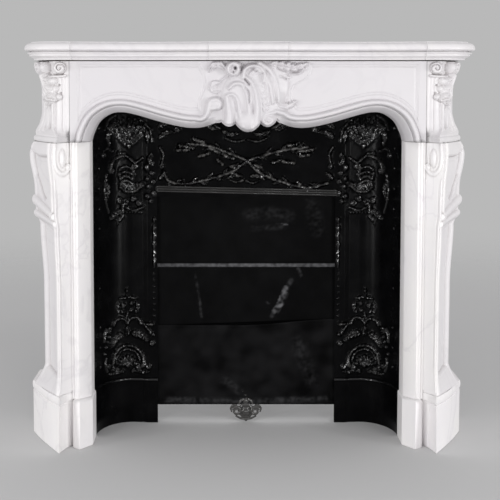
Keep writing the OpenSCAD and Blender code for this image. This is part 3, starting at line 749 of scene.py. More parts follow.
def prow_line(inset=0.0, low=0.0, count=60):
    """The plinth's plan drawn in by inset. Its sharp tip reaches out toward the floor (low = 1)."""
    p = np.array(PROW, float)
    p[:3, 1] += np.array([12, 0, -14]) * low
    d = np.diff(p, axis=0)
    d /= np.linalg.norm(d, axis=1, keepdims=True)
    n = np.stack([d[:, 1], -d[:, 0]], axis=1)
    a, b = np.vstack([n[:1], n]), np.vstack([n, n[-1:]])
    p -= inset * (a + b) / (1 + (a * b).sum(1, keepdims=True))
    p[0, 0] = SEAM_X
    inner = smooth_line(p[:3], count // 3)
    outer = smooth_line(p[2:], count - count // 3)
    return np.vstack([inner, outer[1:]])


def plinth(side):
    """A console's pointed plinth, with a round bead under its top."""
    h = PLINTH_H
    turn = np.linspace(0.1, math.pi - 0.1, 9)
    lip = np.linspace(0.2, 1.4, 4)
    rows = np.vstack([[[3, 0], [1, 1.5], [1, h - 27], [2.2, h - 26], [3, h - 25]],
                      np.stack([1.6 - 2.6 * np.sin(turn), h - 23 + 11 * (1 - np.cos(turn))], axis=1),
                      [[3, h - 1.5], [4, h - 1]],
                      np.stack([4 + 3 * np.sin(lip), h - np.cos(lip)], axis=1)])
    rings = []
    for inset, z in rows:
        row = prow_line(inset, max(0, 1 - z / (h - 27)))
        rings.append(ring_at(np.vstack([[SEAM_X, WALL_T], row, [row[-1, 0], WALL_T]]), z))
    return loft(side + "_plinth", rings, 32)


FOOT_TOP = PLINTH_H + 58              # top of the console's spreading foot
KNEE_Z = SEAM_Z - 190                 # height of the rolls across its knee
SHOULDER_Z = SEAM_Z - 37
SWELL = 34                            # how far its shoulder swells out


def swell_at(z):
    """How far the console's S-shape swells out at heights z."""
    p = np.array([[0, 0], [FOOT_TOP, 0], [KNEE_Z - 200, 0.02], [KNEE_Z - 40, 0.27], [KNEE_Z, 0.62],
                  [KNEE_Z + 60, 0.7], [SHOULDER_Z, 1.08], [SEAM_Z, 0.95]])
    i = np.clip(np.searchsorted(p[:, 0], z, side="right") - 1, 0, len(p) - 2)
    u = (z - p[i, 0]) / (p[i + 1, 0] - p[i, 0])
    return SWELL * (p[i, 1] + (p[i + 1, 1] - p[i, 1]) * ease(u))


def edge_line(x, t, z):
    """An upright edge as [x, depth] at every height."""
    return np.stack([np.broadcast_to(x, z.shape), np.broadcast_to(t, z.shape)], axis=1)


def face_between(a, b, count):
    """A face between two upright edges: its points, outward directions, share across and mean width."""
    share = np.linspace(0, 1, count)
    run = b - a
    width = np.linalg.norm(run, axis=1, keepdims=True)
    out = np.stack([run[:, 1], -run[:, 0]], axis=1) / width
    points = a[:, None] + run[:, None] * share[None, :, None]
    return points, np.repeat(out[:, None], count, 1), np.tile(share, (len(a), 1)), float(width.mean())


def leg_block(name, angle, z, plan, last_x, heights, seam, pale):
    """A carved block of a leg from its plans at heights z, closed behind by a flat back."""
    plan[:, 0, 0] = SEAM_X
    first, last = (edge_line(x, LEG_BACK_T, z)[:, None] for x in (SEAM_X, last_x))
    rings = [ring_at(row, level) for row, level in zip(np.concatenate([first, plan, last], axis=1), z)]
    # Hollows of the carving get painted shade.
    hollow_shade = np.pad(cavity_of(heights, 3.5, 10), ((0, 0), (1, 1)))
    return loft(name, rings, angle, hollow_shade=hollow_shade, bare_and_painted_light=seam, pale=pale)


def console(side):
    """An S-shaped console: a plain inner side, a narrow front, and a panelled face with rolls at its knee."""
    z = np.linspace(PLINTH_H, SEAM_Z, 300)
    s = swell_at(z)
    spread = np.clip((FOOT_TOP - z) / (FOOT_TOP - PLINTH_H), 0, 1) ** 1.3
    top_roll = 11 * np.clip(1 - (SEAM_Z - z) / 34, 0, 1) ** 2
    seam_edge = edge_line(SEAM_X, SEAM_T, z)
    tip = edge_line(SEAM_X + 30 + 0.42 * s + 2 * spread, 16 - 6 * spread, z)
    arris = edge_line(SEAM_X + 31 + 0.62 * s + 8 * spread, 17 + 0.6 * s - 3 * spread, z)
    outer = edge_line(SEAM_X + 86 + s + 32 * spread - top_roll, BACK_T, z)
    inner, n1, u1, _ = face_between(seam_edge, tip, 44)
    nose, n2, u2, _ = face_between(tip, arris, 16)
    panel, n3, u3, _ = face_between(arris, outer, 84)
    z1, z2, z3 = (np.tile(z[:, None], (1, u.shape[1])) for u in (u1, u2, u3))
    # Inner side: a long cabochon in a U-shaped band that ends in a small scroll, over plain fillets.
    c = Carving(u1 * 78, z1)
    c.dome((36, SEAM_Z - 42), 13, 7, squash=1.9)
    bands = [(6, 4, 60, (66, 0), (66, 50), (60, 70), (44, 82), (26, 82), (12, 74)),
             (4, 3, 30, (12, 0), (12, 30), (16, 52))]
    for width, height, count, *points in bands:
        c.ridge(smooth_line([[x, SEAM_Z - down] for x, down in points], count), width, height)
    c.volute((13, SEAM_Z - 66), 11, 8, coils=1.3)
    for x in (5, 73):
        c.ridge([[x, PLINTH_H + 8], [x, SEAM_Z - 100]], 3, 2.2)
    c.groove([[62, PLINTH_H + 30], [62, SEAM_Z - 110]], 1.6, 1.6)
    inner_h = c.result()
    # Panelled face: bead strips on its edges, two sunk panels and a pillow over the upper one.
    across = np.abs(u3 - 0.5) * 2

    def sunk(low, high):
        d = np.minimum.reduce([(0.74 - across) * 68, z3 - low, high - z3])
        border = 2.2 * np.exp(-((d - 3.5) / 1.5) ** 2) - 1.2 * np.exp(-((d - 12) / 2) ** 2)
        return 7 * ease((d + 3) / 7) + border

    upper_high = SEAM_Z - 38 + 24 * u3 ** 5 + 5 * (1 - u3) ** 5
    upper = sunk(KNEE_Z + 20 + 95 * across ** 1.6 + 24 * u3, upper_high)
    panel_h = -np.maximum(upper, sunk(PLINTH_H + 40 + 14 * u3, KNEE_Z - 48 + 22 * u3))
    panel_h += 3.4 * (1 - spread[:, None]) * round_over(across - 0.89, 0.11)
    panel_h += 3.2 * round_over(z3 - SEAM_Z + 14, 25) * ease((z3 - upper_high) / 4) * ease(u3 * 9)
    # Two rolls across the knee, which run on round the narrow front.
    length = 140
    c = Carving(u3 * length, z3)
    c.ridge([[-6, KNEE_Z - 7], [length + 6, KNEE_Z + 30]], 13, 15, ends=(0.8, 1.3), rise=(0.8, 1))
    c.ridge([[-6, KNEE_Z - 26], [length + 6, KNEE_Z - 9]], 11, 13, ends=(0.8, 1.3), rise=(0.8, 1))
    c.volute((10, KNEE_Z - 8), 10, 14, coils=1.2)
    rolls = c.result()
    panel_h = np.where(rolls > 0, np.maximum(rolls - 4, panel_h), panel_h)
    nose_h = np.zeros_like(u2)
    for middle, half, rise in ((KNEE_Z - 7, 10, 8), (KNEE_Z - 26, 9, 7)):
        nose_h = np.maximum(nose_h, rise * round_over(z2 - middle, half) * ease(u2 * 1.4))
    # Where the narrow front has no width it borrows the panelled face's direction.
    width = np.linalg.norm(arris - tip, axis=1)[:, None, None]
    n2 = np.where(width < 6, n3[:, :1], n2)
    heights = np.concatenate([inner_h, nose_h, panel_h], axis=1)
    flat, out = np.concatenate([inner, nose, panel], axis=1), np.concatenate([n1, n2, n3], axis=1)
    plan = flat + out * heights[..., None]
    ends = ((0, 0), (1, 1))
    # A darker grey painted as shade over the console, most of it on the panelled outer face. Joints at its top
    # and beside the jamb get a dark joint colour that also paints the shade in them.
    tone = np.pad(0.15 + np.concatenate([0 * u1, 0 * u2, 0.35 * ease(u3 * 8)], axis=1), ends)
    seam = np.zeros(tone.shape)
    seam[-1] = 0.8
    seam[:, :2] = 0.5
    return leg_block(side + "_console_carved", 45, z, plan, outer[:, 0], heights, seam, tone)


COLLAR_TOP = SEAM_Z + COLLAR_H


def corner_ornament(c):
    """Scrolls, an egg and a falling acanthus leaf. Heights are measured down from the block's top."""
    def at(*points):
        return smooth_line([[x, TOP_Z - low] for x, low in points], 26)

    # Fillets of the plain strip beside the seam.
    for mid, wide, high in ((4, 3.4, 1.4), (14, 4, 1.6), (28, 7, 3)):
        c.ridge([[mid, COLLAR_TOP + 2], [mid, TOP_Z - 48]], wide, high)
    for mid in (19, 37):
        c.groove([[mid, COLLAR_TOP + 2], [mid, TOP_Z - 44]], 1.4, 1.6)
    # Scroll beside the seam, the egg, and the second scroll at the back.
    c.volute((24, TOP_Z - 21), 16, 17, coils=1.7, turn=-1, start=0.2)
    c.groove(at((62, 4), (64, 22), (60, 40)), 2.4, 9)
    c.groove(at((112, 4), (116, 22), (112, 42)), 3, 8)
    c.dome((80, TOP_Z - 20), 15, 24, squash=1.25)
    c.ridge([[101, TOP_Z - 6], [101, TOP_Z - 36]], 5, 10)
    c.volute((148, TOP_Z - 20), 19, 12, coils=1.5)
    c.ridge(at((10, 41), (30, 43), (50, 43), (74, 46)), 3.6, 8)
    c.groove(at((12, 37), (30, 38), (48, 38)), 1.8, 7)
    # Acanthus leaf that falls over the block to a small ball, with its toothed lobes.
    c.dome((62, TOP_Z - 68), 32, 11, squash=0.9)
    c.leaf(at((80, 38), (72, 56), (60, 76), (44, 94), (30, 108)), 27, 25, lobes=3, notch=0.22, vein=0.12)
    c.ridge(at((78, 42), (68, 60), (54, 80), (36, 100)), 9, 29, ends=(1.2, 0.6), rise=(1, 0.7))
    for across, low, r, high in ((40, 56, 11, 18), (36, 76, 10, 16), (27, 97, 9, 14)):
        c.dome((across, TOP_Z - low), r, high)
    c.leaf(at((100, 46), (110, 68), (108, 92), (96, 114)), 16, 14, lobes=4, notch=0.35)
    for across, low, r in ((130, 50, 11), (122, 95, 9), (102, 112, 9)):
        c.dome((across, TOP_Z - low), r, 10)
    holes = [(80, 122, 6, 12), (22, 87, 3, 7), (26, 66, 3, 7), (50, 112, 3, 7), (64, 44, 2.5, 8)]
    for across, low, r, deep in holes:
        c.drill((across, TOP_Z - low), r, deep)
    c.groove(at((94, 48), (86, 74), (68, 98)), 2.2, 6)
    c.groove(at((92, 120), (94, 146), (96, 176)), 2.4, 7)
    c.groove(at((58, 112), (56, 146), (54, 178)), 2, 6)
    # The leaf's fluted stem and its pointed tongue.
    c.leaf(at((80, 118), (76, 146), (70, 182)), 19, 13, lobes=1, notch=0.0, vein=0.0)
    c.ridge(at((50, 104), (50, 140), (48, 182)), 7, 6, ends=(0.6, 1))
    c.ridge(at((104, 118), (108, 146), (116, 182)), 9, 6, ends=(0.6, 1))
    c.ridge(at((128, 104), (134, 140), (144, 182)), 10, 5, ends=(0.6, 1))


def collar_line(inset, inner_count, outer_count):
    """The plinth's plan down to the block's back, as even points on each side of its tip."""
    line = prow_line(inset, count=400)
    line = line[line[:, 1] <= BACK_T]
    tip_at = int(np.argmin(line[:, 1]))
    return np.vstack([evenly(line[:tip_at + 1], inner_count), evenly(line[tip_at:], outer_count)])


def corner_block(side):
    """A block over a console: a round collar, a narrow neck and a carved head."""
    z = np.concatenate([np.linspace(SEAM_Z, COLLAR_TOP, 22), np.linspace(COLLAR_TOP, TOP_Z - 4, 180)[1:],
                        TOP_Z - np.array([3, 2.2, 1.4, 0.6, 0])])
    u = np.clip((TOP_Z - z) / (TOP_Z - SEAM_Z), 0, 1)
    waist = np.interp(u, [0, 0.08, 0.2, 0.34, 0.66, 0.78, 0.88, 1], [10, 12, 20, 25, 25, 18, 7, 0])
    window = np.hanning(21)[1:-1]
    waist = np.convolve(np.pad(waist, 9, mode="edge"), window / window.sum(), mode="valid")
    edges = [edge_line(SEAM_X, FACE_T, z), edge_line(SEAM_X + 20, FACE_T - 2, z),
             edge_line(SEAM_X + 40, 30 + 0.5 * waist, z), edge_line(SEAM_X + 114 - waist, BACK_T, z)]
    faces, start = [], 0.0
    for a, b, count in zip(edges[:-1], edges[1:], (16, 26, 100)):
        flat, out, share, width = face_between(a, b, count)
        faces.append((flat, out, start + share * width))
        start += width
    flat, out, x = (np.concatenate(parts, axis=1) for parts in zip(*faces))
    zz = np.tile(z[:, None], (1, x.shape[1]))
    c = Carving(x, zz)
    corner_ornament(c)
    heights = c.result() * np.clip((zz - COLLAR_TOP - 3) / 6, 0, 1) * np.clip((TOP_Z - 2 - zz) / 3, 0, 1)
    heights -= 9 * ease((zz - TOP_Z + 3) / 2)
    # The collar's round band runs up into the neck.
    in_collar = z <= COLLAR_TOP
    inset = 5 - 5 * round_over(2 * (z - SEAM_Z) / (0.78 * COLLAR_H) - 1, 1)
    rows = np.minimum(np.arange(len(z)), 23)
    collar = np.array([collar_line(inset[k], 42, x.shape[1] - 42) for k in range(24)])[rows]
    neck = (1 - (1 - np.clip((z - COLLAR_TOP) / 34, 0, 1)) ** 3)[:, None, None]
    plan = flat + out * heights[..., None]
    plan = np.where(in_collar[:, None, None], collar, collar * (1 - neck) + plan * neck)
    # Joints beside the jamb, at the collar's foot and under the shelf get a dark joint colour that also paints
    # the shade in them; the whole block gets a darker grey painted as shade.
    seam = np.zeros((len(z), x.shape[1] + 2))
    seam[:, :2] = 0.7
    seam[0] = 0.7
    seam[-5:] = 0.9
    return leg_block(side + "_corner_carved", 50, z, plan, plan[:, -1, 0], heights, seam, 0.5)


def jamb(side):
    """A jamb: a bead beside the console, a flat face and a splayed edge at the opening."""
    r = 4
    a = np.radians(np.linspace(10, 170, 10))
    bead = np.stack([SEAM_X - 8 - r * np.cos(a), 50 - r * np.sin(a)], axis=1)
    line = np.vstack([[[OPEN_X, BACK_T], [OPEN_X, 88], [OPEN_X + 1.5, 82]],
                      [[SEAM_X - 18, 48.5], [SEAM_X - 15.5, 50]], bead,
                      [[SEAM_X - 2, 46], [SEAM_X, 46], [SEAM_X, BACK_T]]])
    return loft(side + "_jamb_moulded", [ring_at(line, z) for z in np.linspace(FOOT_H, SEAM_Z, 60)], 32)


def jamb_plinth(side):
    """A jamb's plain foot with a blunt point and a chamfered top."""
    line = np.array([[OPEN_X - 4, BACK_T], [OPEN_X - 4, 64], [SEAM_X - 22, 20], [SEAM_X - 7, 30],
                     [SEAM_X - 1, 40], [SEAM_X - 1, BACK_T]])
    n = normals_of(line)
    h = FOOT_H
    rings = []
    for inset, level in ((1.5, 0), (0, 1.5), (0, h - 6), (0.8, h - 3), (3, h - 0.8), (6, h)):
        row = line - n * inset
        row[[0, -1], 1] = BACK_T
        row[:, 0] = np.minimum(row[:, 0], SEAM_X)
        rings.append(ring_at(row, level))
    return loft(side + "_jamb_foot", rings, 32)


# ---- iron insert ----
def crumbled(height, seed):
    """Small leafage and cast unevenness over the ornaments, which breaks up their sheen."""
    zone = np.clip(blurred((height > 1).astype(float), 10) * 1.6, 0, 1)
    coarse, fine = patchy(height.shape, seed, 3), patchy(height.shape, seed + 1, 1)
    return height + zone * (4.2 * (coarse - 0.5) + 1.4 * (fine - 0.5) + 0.8)


def casting_line(count):
    """Plan of the right casting's face from its inner edge out to the marble, as [x, depth]."""
    a = np.radians(np.linspace(90, 0, 60))
    reach, deep = OPEN_X - NICHE_X - 72, IRON_T - BACK_T + 6
    cove = np.stack([OPEN_X - reach * (1 - np.cos(a)), BACK_T + deep * np.sin(a)], axis=1)
    flat = [[NICHE_X, IRON_T], [NICHE_X + 28, IRON_T], [NICHE_X + 42, IRON_T + 4]]
    return evenly(np.vstack([flat, cove]), count)


def relief_plate(name, line, z, heights, polish_and_glint_level, plain_below=0.0):
    """A cast plate over a plan line, with its relief raised from the face and a plain back.
    Crests shine above plain_below, and the highest ones get pale spots, partly polished metal and partly
    painted glints."""
    n = normals_of(line)
    back = (line - n * IRON_W)[::-6]
    rings = [ring_at(np.vstack([line + n * row[:, None], back]), level) for row, level in zip(heights, z)]
    ends = ((0, 0), (0, len(back)))
    crest = np.clip((heights - 1.2) / 2.5, 0, 1) * (z > plain_below)[:, None]
    spots = np.clip(2.4 * patchy(heights.shape, 5, 8) - 0.7, 0, 1) * patchy(heights.shape, 6, 2)
    # Pale spots on the highest crests: partly polished metal, partly painted glints. Hollows get painted
    # shade.
    polish_and_glint = polish_and_glint_level * np.clip((heights - 5) / 8, 0, 1) * spots
    hollow_shade, bare_and_painted_light, pale = (np.pad(mask, ends) for mask in (cavity_of(heights, 2.2, 6), crest, polish_and_glint))
    return loft(name, rings, 50, hollow_shade=hollow_shade, bare_and_painted_light=bare_and_painted_light, pale=pale)


def path(*points, count=26):
    """A smooth path through points."""
    return smooth_line(points, count)


def upper_trophy(c):
    """The casting's upper ornament: palmette, scrolls and a gadrooned basket on leaves."""
    c.fan((180, 792), (12, 78), (38, 142), 9, 4.0, edge=0.35)
    for k in range(9):
        a = math.radians(44 + 11.5 * k)
        c.dome((180 + 84 * math.cos(a), 792 + 84 * math.sin(a)), 4.2, 6)
    c.dome((180, 800), 9, 7)
    c.dome((172, 845), 6, 8)
    c.ridge(path((206, 880), (230, 862), (244, 838), (246, 812)), 5, 6, ends=(0.5, 1))
    c.leaf(path((214, 858), (232, 836), (236, 806)), 9, 6, lobes=4)
    c.leaf(path((146, 866), (124, 852), (112, 826), (118, 800)), 10, 6, lobes=5)
    c.ridge(path((140, 884), (112, 872), (96, 846)), 4, 5, ends=(1, 0.5))
    c.volute((92, 777), 10, 6, coils=1.3)
    c.ridge(path((92, 787), (110, 792), (130, 786)), 4, 5)
    c.ridge([[146, 779], [167, 779]], 4.5, 8)
    c.ridge(path((118, 734), (126, 754), (145, 767), (172, 770), (198, 750)), 5.5, 8.5)
    c.volute((124, 730), 10, 8, coils=1.3, turn=-1)
    c.volute((198, 742), 10, 8, coils=1.3)
    c.ridge(path((200, 752), (210, 757), (220, 766)), 4, 7)
    for k, z in enumerate((738, 724, 710, 698)):
        c.ridge(path((152, z - 4), (170, z + 3), (190, z - 5)), 4.2, 6.5, groove=1.5)
    c.leaf(path((156, 700), (150, 722), (158, 742)), 7, 6, lobes=4)
    c.leaf(path((188, 702), (193, 722), (186, 742)), 7, 6, lobes=4)
    c.fan((186, 742), (50, 72), (236, 306), 9, 7, edge=0.2)
    c.ridge(path((152, 682), (169, 671), (195, 670), (220, 686)), 5, 9.5)
    for x, z, r in ((150, 645, 10), (172, 640, 11), (193, 648, 9), (208, 636, 9), (160, 628, 7)):
        c.volute((x, z), r, 7.5, coils=1.2)
    c.ridge(path((170, 624), (194, 615), (220, 624)), 4.2, 7)
    for k in range(7):
        c.dome((164 + 8.4 * k, 610 - 0.05 * (k - 3) ** 2), 3.4, 4.5)
    c.leaf(path((172, 616), (146, 610), (118, 590)), 10, 7, lobes=5)
    c.leaf(path((166, 604), (148, 590), (144, 574)), 8, 6, lobes=4)
    c.ridge(path((104, 720), (96, 690), (98, 650), (112, 612)), 3.6, 4.5, ends=(1, 0.6))
    c.leaf(path((104, 700), (112, 676), (106, 652)), 7, 4.5, lobes=4)
    for x, z, r in ((232, 738, 8), (245, 722, 8), (232, 706, 7), (250, 698, 8), (238, 684, 7), (252, 664, 9),
                    (234, 656, 8), (243, 642, 7)):
        c.volute((x, z), r, 6, coils=1.2, start=0.3)
    c.leaf(path((250, 744), (240, 760), (246, 782)), 8, 5.5, lobes=4)


def lower_trophy(c):
    """The casting's lower ornament: a finial over a cornice, acanthus, and a shell under a double arch."""
    c.dome((172, 392), 3.6, 5)
    c.dome((172, 383), 5.5, 7)
    c.ridge([[150, 362], [167, 364]], 4, 7)
    c.ridge([[179, 365], [199, 362]], 4, 7)
    c.dome((172, 370), 4, 6)
    for x, z, r in ((161, 341, 8), (186, 346, 7), (156, 325, 5), (184, 327, 7), (172, 318, 5)):
        c.volute((x, z), r, 7, coils=1.4)
    c.leaf(path((146, 318), (142, 338), (150, 354)), 6, 4, lobes=4)
    c.leaf(path((198, 318), (204, 338), (196, 354)), 6, 4, lobes=4)
    c.ridge(path((127, 288), (136, 301), (152, 304), (168, 297), (172, 289)), 4.4, 8)
    c.ridge(path((172, 289), (178, 298), (192, 306), (207, 302), (212, 290)), 4.4, 8)
    c.leaf(path((172, 286), (172, 302), (172, 316)), 7, 6, lobes=3)
    c.ridge(path((84, 248), (86, 268), (98, 281), (114, 281)), 4.6, 7)
    c.volute((112, 272), 8, 7, coils=1.2)
    for x, z in ((104, 243), (97, 229), (86, 212), (110, 256)):
        c.dome((x, z), 4.5, 6)
    c.ridge([[224, 288], [246, 287]], 5, 8)
    c.dome((248, 258), 6, 8)
    c.volute((245, 232), 8, 6, coils=1.2)
    c.ridge(path((214, 290), (232, 276), (244, 256)), 4, 5)
    c.leaf(path((160, 258), (138, 250), (114, 222)), 12, 8, lobes=5)
    c.leaf(path((184, 262), (208, 256), (234, 238)), 12, 9, lobes=5)
    c.leaf(path((172, 252), (172, 268), (172, 284)), 9, 6, lobes=4)
    for radius, width, height in ((49, 4.4, 7), (38, 3.4, 6)):
        a = np.radians(np.linspace(2, 178, 40))
        c.ridge(np.stack([172 + radius * np.cos(a), 176 + radius * np.sin(a)], 1), width, height)
    c.fan((172, 166), (5, 34), (4, 176), 9, 7, edge=0.4)
    c.dome((172, 166), 8, 8)
    for x, z, r in ((112, 172, 8), (126, 164, 9), (140, 158, 7), (204, 160, 8), (219, 168, 9), (236, 164, 8),
                    (156, 150, 6), (188, 150, 6)):
        c.volute((x, z), r, 7, coils=1.3)
    c.leaf(path((192, 152), (214, 148), (240, 150)), 7, 6, lobes=5)
    c.leaf(path((152, 152), (130, 148), (104, 150)), 7, 6, lobes=5)
    c.ridge(path((96, 196), (92, 176), (100, 158)), 4, 5)


def iron_casting(side):
    """A curved side casting: two trophies on a cove, studs, bellflowers and a plain base under a bead."""
    base = PLINTH_H - 23
    z = np.concatenate([np.linspace(0, base - 8, 8), np.linspace(base - 6, base + 8, 9),
                        np.linspace(base + 10, 402, 128), np.linspace(406, 572, 40),
                        np.linspace(574, CASTING_TOP - 5, 150)])
    line = casting_line(124)
    run = np.concatenate([[0], np.cumsum(np.linalg.norm(np.diff(line, axis=0), axis=1))])
    across = run[-1] - run
    x, zz = np.meshgrid(across, z)
    c = Carving(x, zz)
    upper_trophy(c)
    lower_trophy(c)
    # Strip of studs along the marble, and bellflowers down the inner edge.
    for k in range(14):
        c.dome((62, base + 54 + 56 * k), 5, 4)
    for top in range(596, 475, -24):
        c.leaf(path((252, top), (252, top - 9), (252, top - 20)), 6, 5, lobes=2)
        c.dome((252, top - 22), 2.6, 4)
    for k in range(9):
        c.dome((252, 430 - 17 * k), 2.4, 2.5)
    for s in (50, 78):
        c.groove([[s, base + 6], [s, CASTING_TOP]], 1.6, 1.5)
    band = np.where(zz < base, 3.0, 0)
    bead = 5 * round_over(zz - base + 1, 4.5)
    heights = np.maximum.reduce([crumbled(c.result(), 11), band, bead]) * np.clip(across / 10, 0, 1)
    return relief_plate(side + "_casting_relief", line, z, heights, 1.5, plain_below=base - 4)


def lintel_ornament(c):
    """Two crossed sprays with ears and leaves, over a reeded bar."""
    stems = [path((-236, 728), (-217, 698), (-163, 693), (-100, 707), (-40, 727), (2, 756), (60, 776),
                  (120, 790), (176, 796), count=60),
             path((231, 694), (184, 681), (141, 686), (70, 708), (30, 730), (0, 758), (-56, 782),
                  (-110, 800), (-168, 806), count=60)]
    for stem in stems:
        c.ridge(stem, 4.6, 7)
        for k in range(4, 58, 3):
            p, q = stem[k], stem[k + 1]
            d = (q - p) / np.linalg.norm(q - p)
            n = np.array([-d[1], d[0]]) * (1 if k % 2 else -1)
            if abs(p[0]) > 28:
                c.leaf(path(p, p + 8 * d + 7 * n, p + 22 * d + 15 * n), 5.4, 5.5, lobes=2, vein=0.4)
    # Ears of corn, from base to tip.
    ears = np.array([[-106, 795, -80, 783], [-134, 770, -106, 780], [-80, 760, -66, 748], [38, 766, 66, 779],
                     [148, 784, 192, 791], [152, 772, 182, 777], [104, 757, 138, 752], [-192, 801, -148, 794],
                     [-196, 788, -160, 790], [-60, 772, -34, 764], [-44, 740, -22, 750], [74, 752, 98, 762],
                     [118, 800, 146, 808], [-150, 820, -120, 812], [-20, 716, -44, 726],
                     [24, 746, 44, 740]], float)
    for a, b in ears.reshape(-1, 2, 2):
        c.ridge([a, (a + b) / 2, b], 6.2, 9, ends=(0.8, 0.4))
        for u in np.linspace(0.1, 0.9, 5):
            c.dome(a + (b - a) * u + np.array([0, 2.6]) * (-1) ** int(u * 10), 4.0, 10.5)
    c.ridge(path((-46, 703), (-28, 697), (-10, 702)), 5, 7, ends=(0.5, 0.8))
    c.ridge(path((38, 701), (18, 694), (-1, 700)), 5, 7, ends=(0.5, 0.8))
    c.leaf(path((-6, 712), (-30, 716), (-58, 706)), 7, 6, lobes=4)
    c.leaf(path((8, 712), (32, 714), (58, 702)), 7, 6, lobes=4)
    c.dome((2, 757), 10, 10)
    # Leaves and scrolls under the marble.
    for side in (-1, 1):
        def sided(*points):
            return path(*[(side * x, z) for x, z in points])

        c.leaf(sided((252, 850), (224, 866), (190, 860)), 10, 6, lobes=5)
        c.leaf(sided((250, 820), (226, 838), (200, 838)), 9, 5, lobes=5)
        c.ridge(sided((246, 796), (236, 776), (240, 750)), 4, 5)
        c.volute((side * 240, 742), 8, 6, coils=1.2)
        c.volute((side * 196, 846), 9, 6, coils=1.3)
        c.ridge(sided((186, 858), (150, 872), (110, 868), (74, 850)), 3.8, 5.5)
        c.leaf(sided((120, 866), (96, 850), (70, 852)), 9, 6, lobes=5)
        c.leaf(sided((70, 842), (44, 832), (16, 836)), 8, 6, lobes=5)
        c.ridge(sided((60, 822), (34, 812), (6, 816)), 3.4, 5)
        c.leaf(sided((246, 700), (238, 716), (226, 724)), 7, 5, lobes=3)


def iron_lintel():
    """The cast plate over the curtain with its crossed sprays and its reeded bar."""
    z = np.linspace(LINTEL_Z, CASTING_TOP - 5, 122)
    x = np.linspace(-NICHE_X, NICHE_X, 244)
    c = Carving(*np.meshgrid(x, z))
    lintel_ornament(c)
    line = np.stack([x, np.full(len(x), IRON_T)], axis=1)
    # The lintel's crests get stronger pale spots: partly polished metal, partly painted glints.
    return joined([relief_plate("lintel_relief", line, z, crumbled(1.3 * c.result(), 23), 2.6), reeded_bar()])


def reeded_bar():
    """The bar over the curtain: three reeds with rounded ends, hanging a little low at the right."""
    turn = np.linspace(0.15, math.pi - 0.15, 7)
    reeds = [np.stack([-4.6 * np.sin(turn) - 4, 6.4 * k - 3.1 * np.cos(turn)], axis=1) for k in (-1, 0, 1)]
    section = np.vstack(reeds + [[[2, 9], [2, -9]]])
    low_end, high_end = -NICHE_X - 5, NICHE_X + 9
    rings = []
    for x in np.linspace(low_end, high_end, 120):
        end = min((x - low_end) / 7, (high_end - x) / 7, 1)
        k = 0.55 + 0.45 * math.sqrt(end * (2 - end))
        wave = 1 + 0.05 * math.sin(x / 13) * math.sin(x / 41)
        level = LINTEL_Z + 17 - 0.024 * x
        plan = np.column_stack([np.full(len(section), x), IRON_T + section[:, 0] * k * wave])
        rings.append(ring_at(plan, level + section[:, 1] * k))
    # A coat over the whole bar, and a pale tone over it that is partly polished metal and partly a painted
    # highlight.
    return loft("bar", rings, 40, bare_and_painted_light=1.0, pale=0.25)


# ---- fire curtain ----
def slat(name, body, top_rise, lip, scuffs, seed, haze=0.01):
    """A curtain slat: dented sheet with folded lips. top_rise(x) lifts its top edge, and scuffs are
    [path, width, strength] of places where it is scuffed; a deep lip is painted pale, partly metal and partly
    a painted highlight."""
    lo, hi = span(name)
    x = np.linspace(lo[0], hi[0], 150)
    rows = int((hi[2] - lo[2]) / 3)
    top = hi[2] + top_rise(x)
    z = lo[2] + np.linspace(0, 1, rows)[:, None] * (top - lo[2])[None]
    xx = np.tile(x, (rows, 1))
    dents = 0.5 * np.sin(xx / 47 + seed) * np.sin(z / 39 + 2 * seed) + 0.5 * (patchy(xx.shape, seed, 40) - 0.5)
    fold = min(lip, 2.6) * round_over(top[None] - z - lip, lip)
    foot = 1.5 * round_over(z - lo[2] - 4, 4)
    height = dents + np.maximum(fold, foot)
    c = Carving(xx, z)
    for line, width, strength in scuffs:
        c.ridge(line, width, strength, shape=1.6)
    grain = patchy(xx.shape, seed + 7, 2)
    bare_and_painted_light = c.result() * grain ** 1.5 * 1.6 + haze * patchy(xx.shape, seed + 3, 30)
    # A deep folded lip is painted pale along its fold: partly metal showing through, partly a painted
    # highlight where it catches light from above.
    bare_and_painted_light += (fold > 0.8) * (0.25 + 0.75 * grain) * (lip > 3)
    front_t, back_t = hi[1] - TIP_Y - 2, hi[1] - TIP_Y
    rings = []
    for row, level in zip(height, z):
        back = ring_at(np.column_stack([x, np.full(len(x), back_t)]), level)[::-6]
        rings.append(np.vstack([ring_at(np.column_stack([x, front_t - row]), level), back]))
    piece = loft(name + "_sheet", rings, 50, bare_and_painted_light=np.pad(bare_and_painted_light, ((0, 0), (0, len(back)))))
    return finish_piece(piece, SHEET_IRON, "black_sheet_iron", body, name)


def turned(name, centre, profile, count, petals=0, depth=0.0):
    """A boss turned about the depth axis from [radius, depth] pairs, with petals if wanted."""
    a = np.linspace(0, 2 * math.pi, count, endpoint=False)
    rings = []
    for r, t in profile:
        rr = r * (1 + depth * np.cos(petals * a))
        plan = np.column_stack([centre[0] + rr * np.cos(a), np.full(count, t)])
        rings.append(ring_at(plan, centre[1] + rr * np.sin(a)))
    return loft(name, rings, 50, bare_and_painted_light=0.9, pale=0.6)


def tube(name, points, radii, t, count):
    """A round bar through points of [x, z] at depth t, with a radius at each end."""
    line = smooth_line(points, count)
    a = np.linspace(0, 2 * math.pi, 14, endpoint=False)
    rings = []
    for p, q, r in zip(line, normals_of(line), np.linspace(*radii, count)):
        plan = np.column_stack([p[0] + q[0] * r * np.cos(a), t + r * np.sin(a)])
        rings.append(ring_at(plan, p[1] + q[1] * r * np.cos(a)))
    return loft(name, rings, 50, bare_and_painted_light=0.9, pale=0.6)


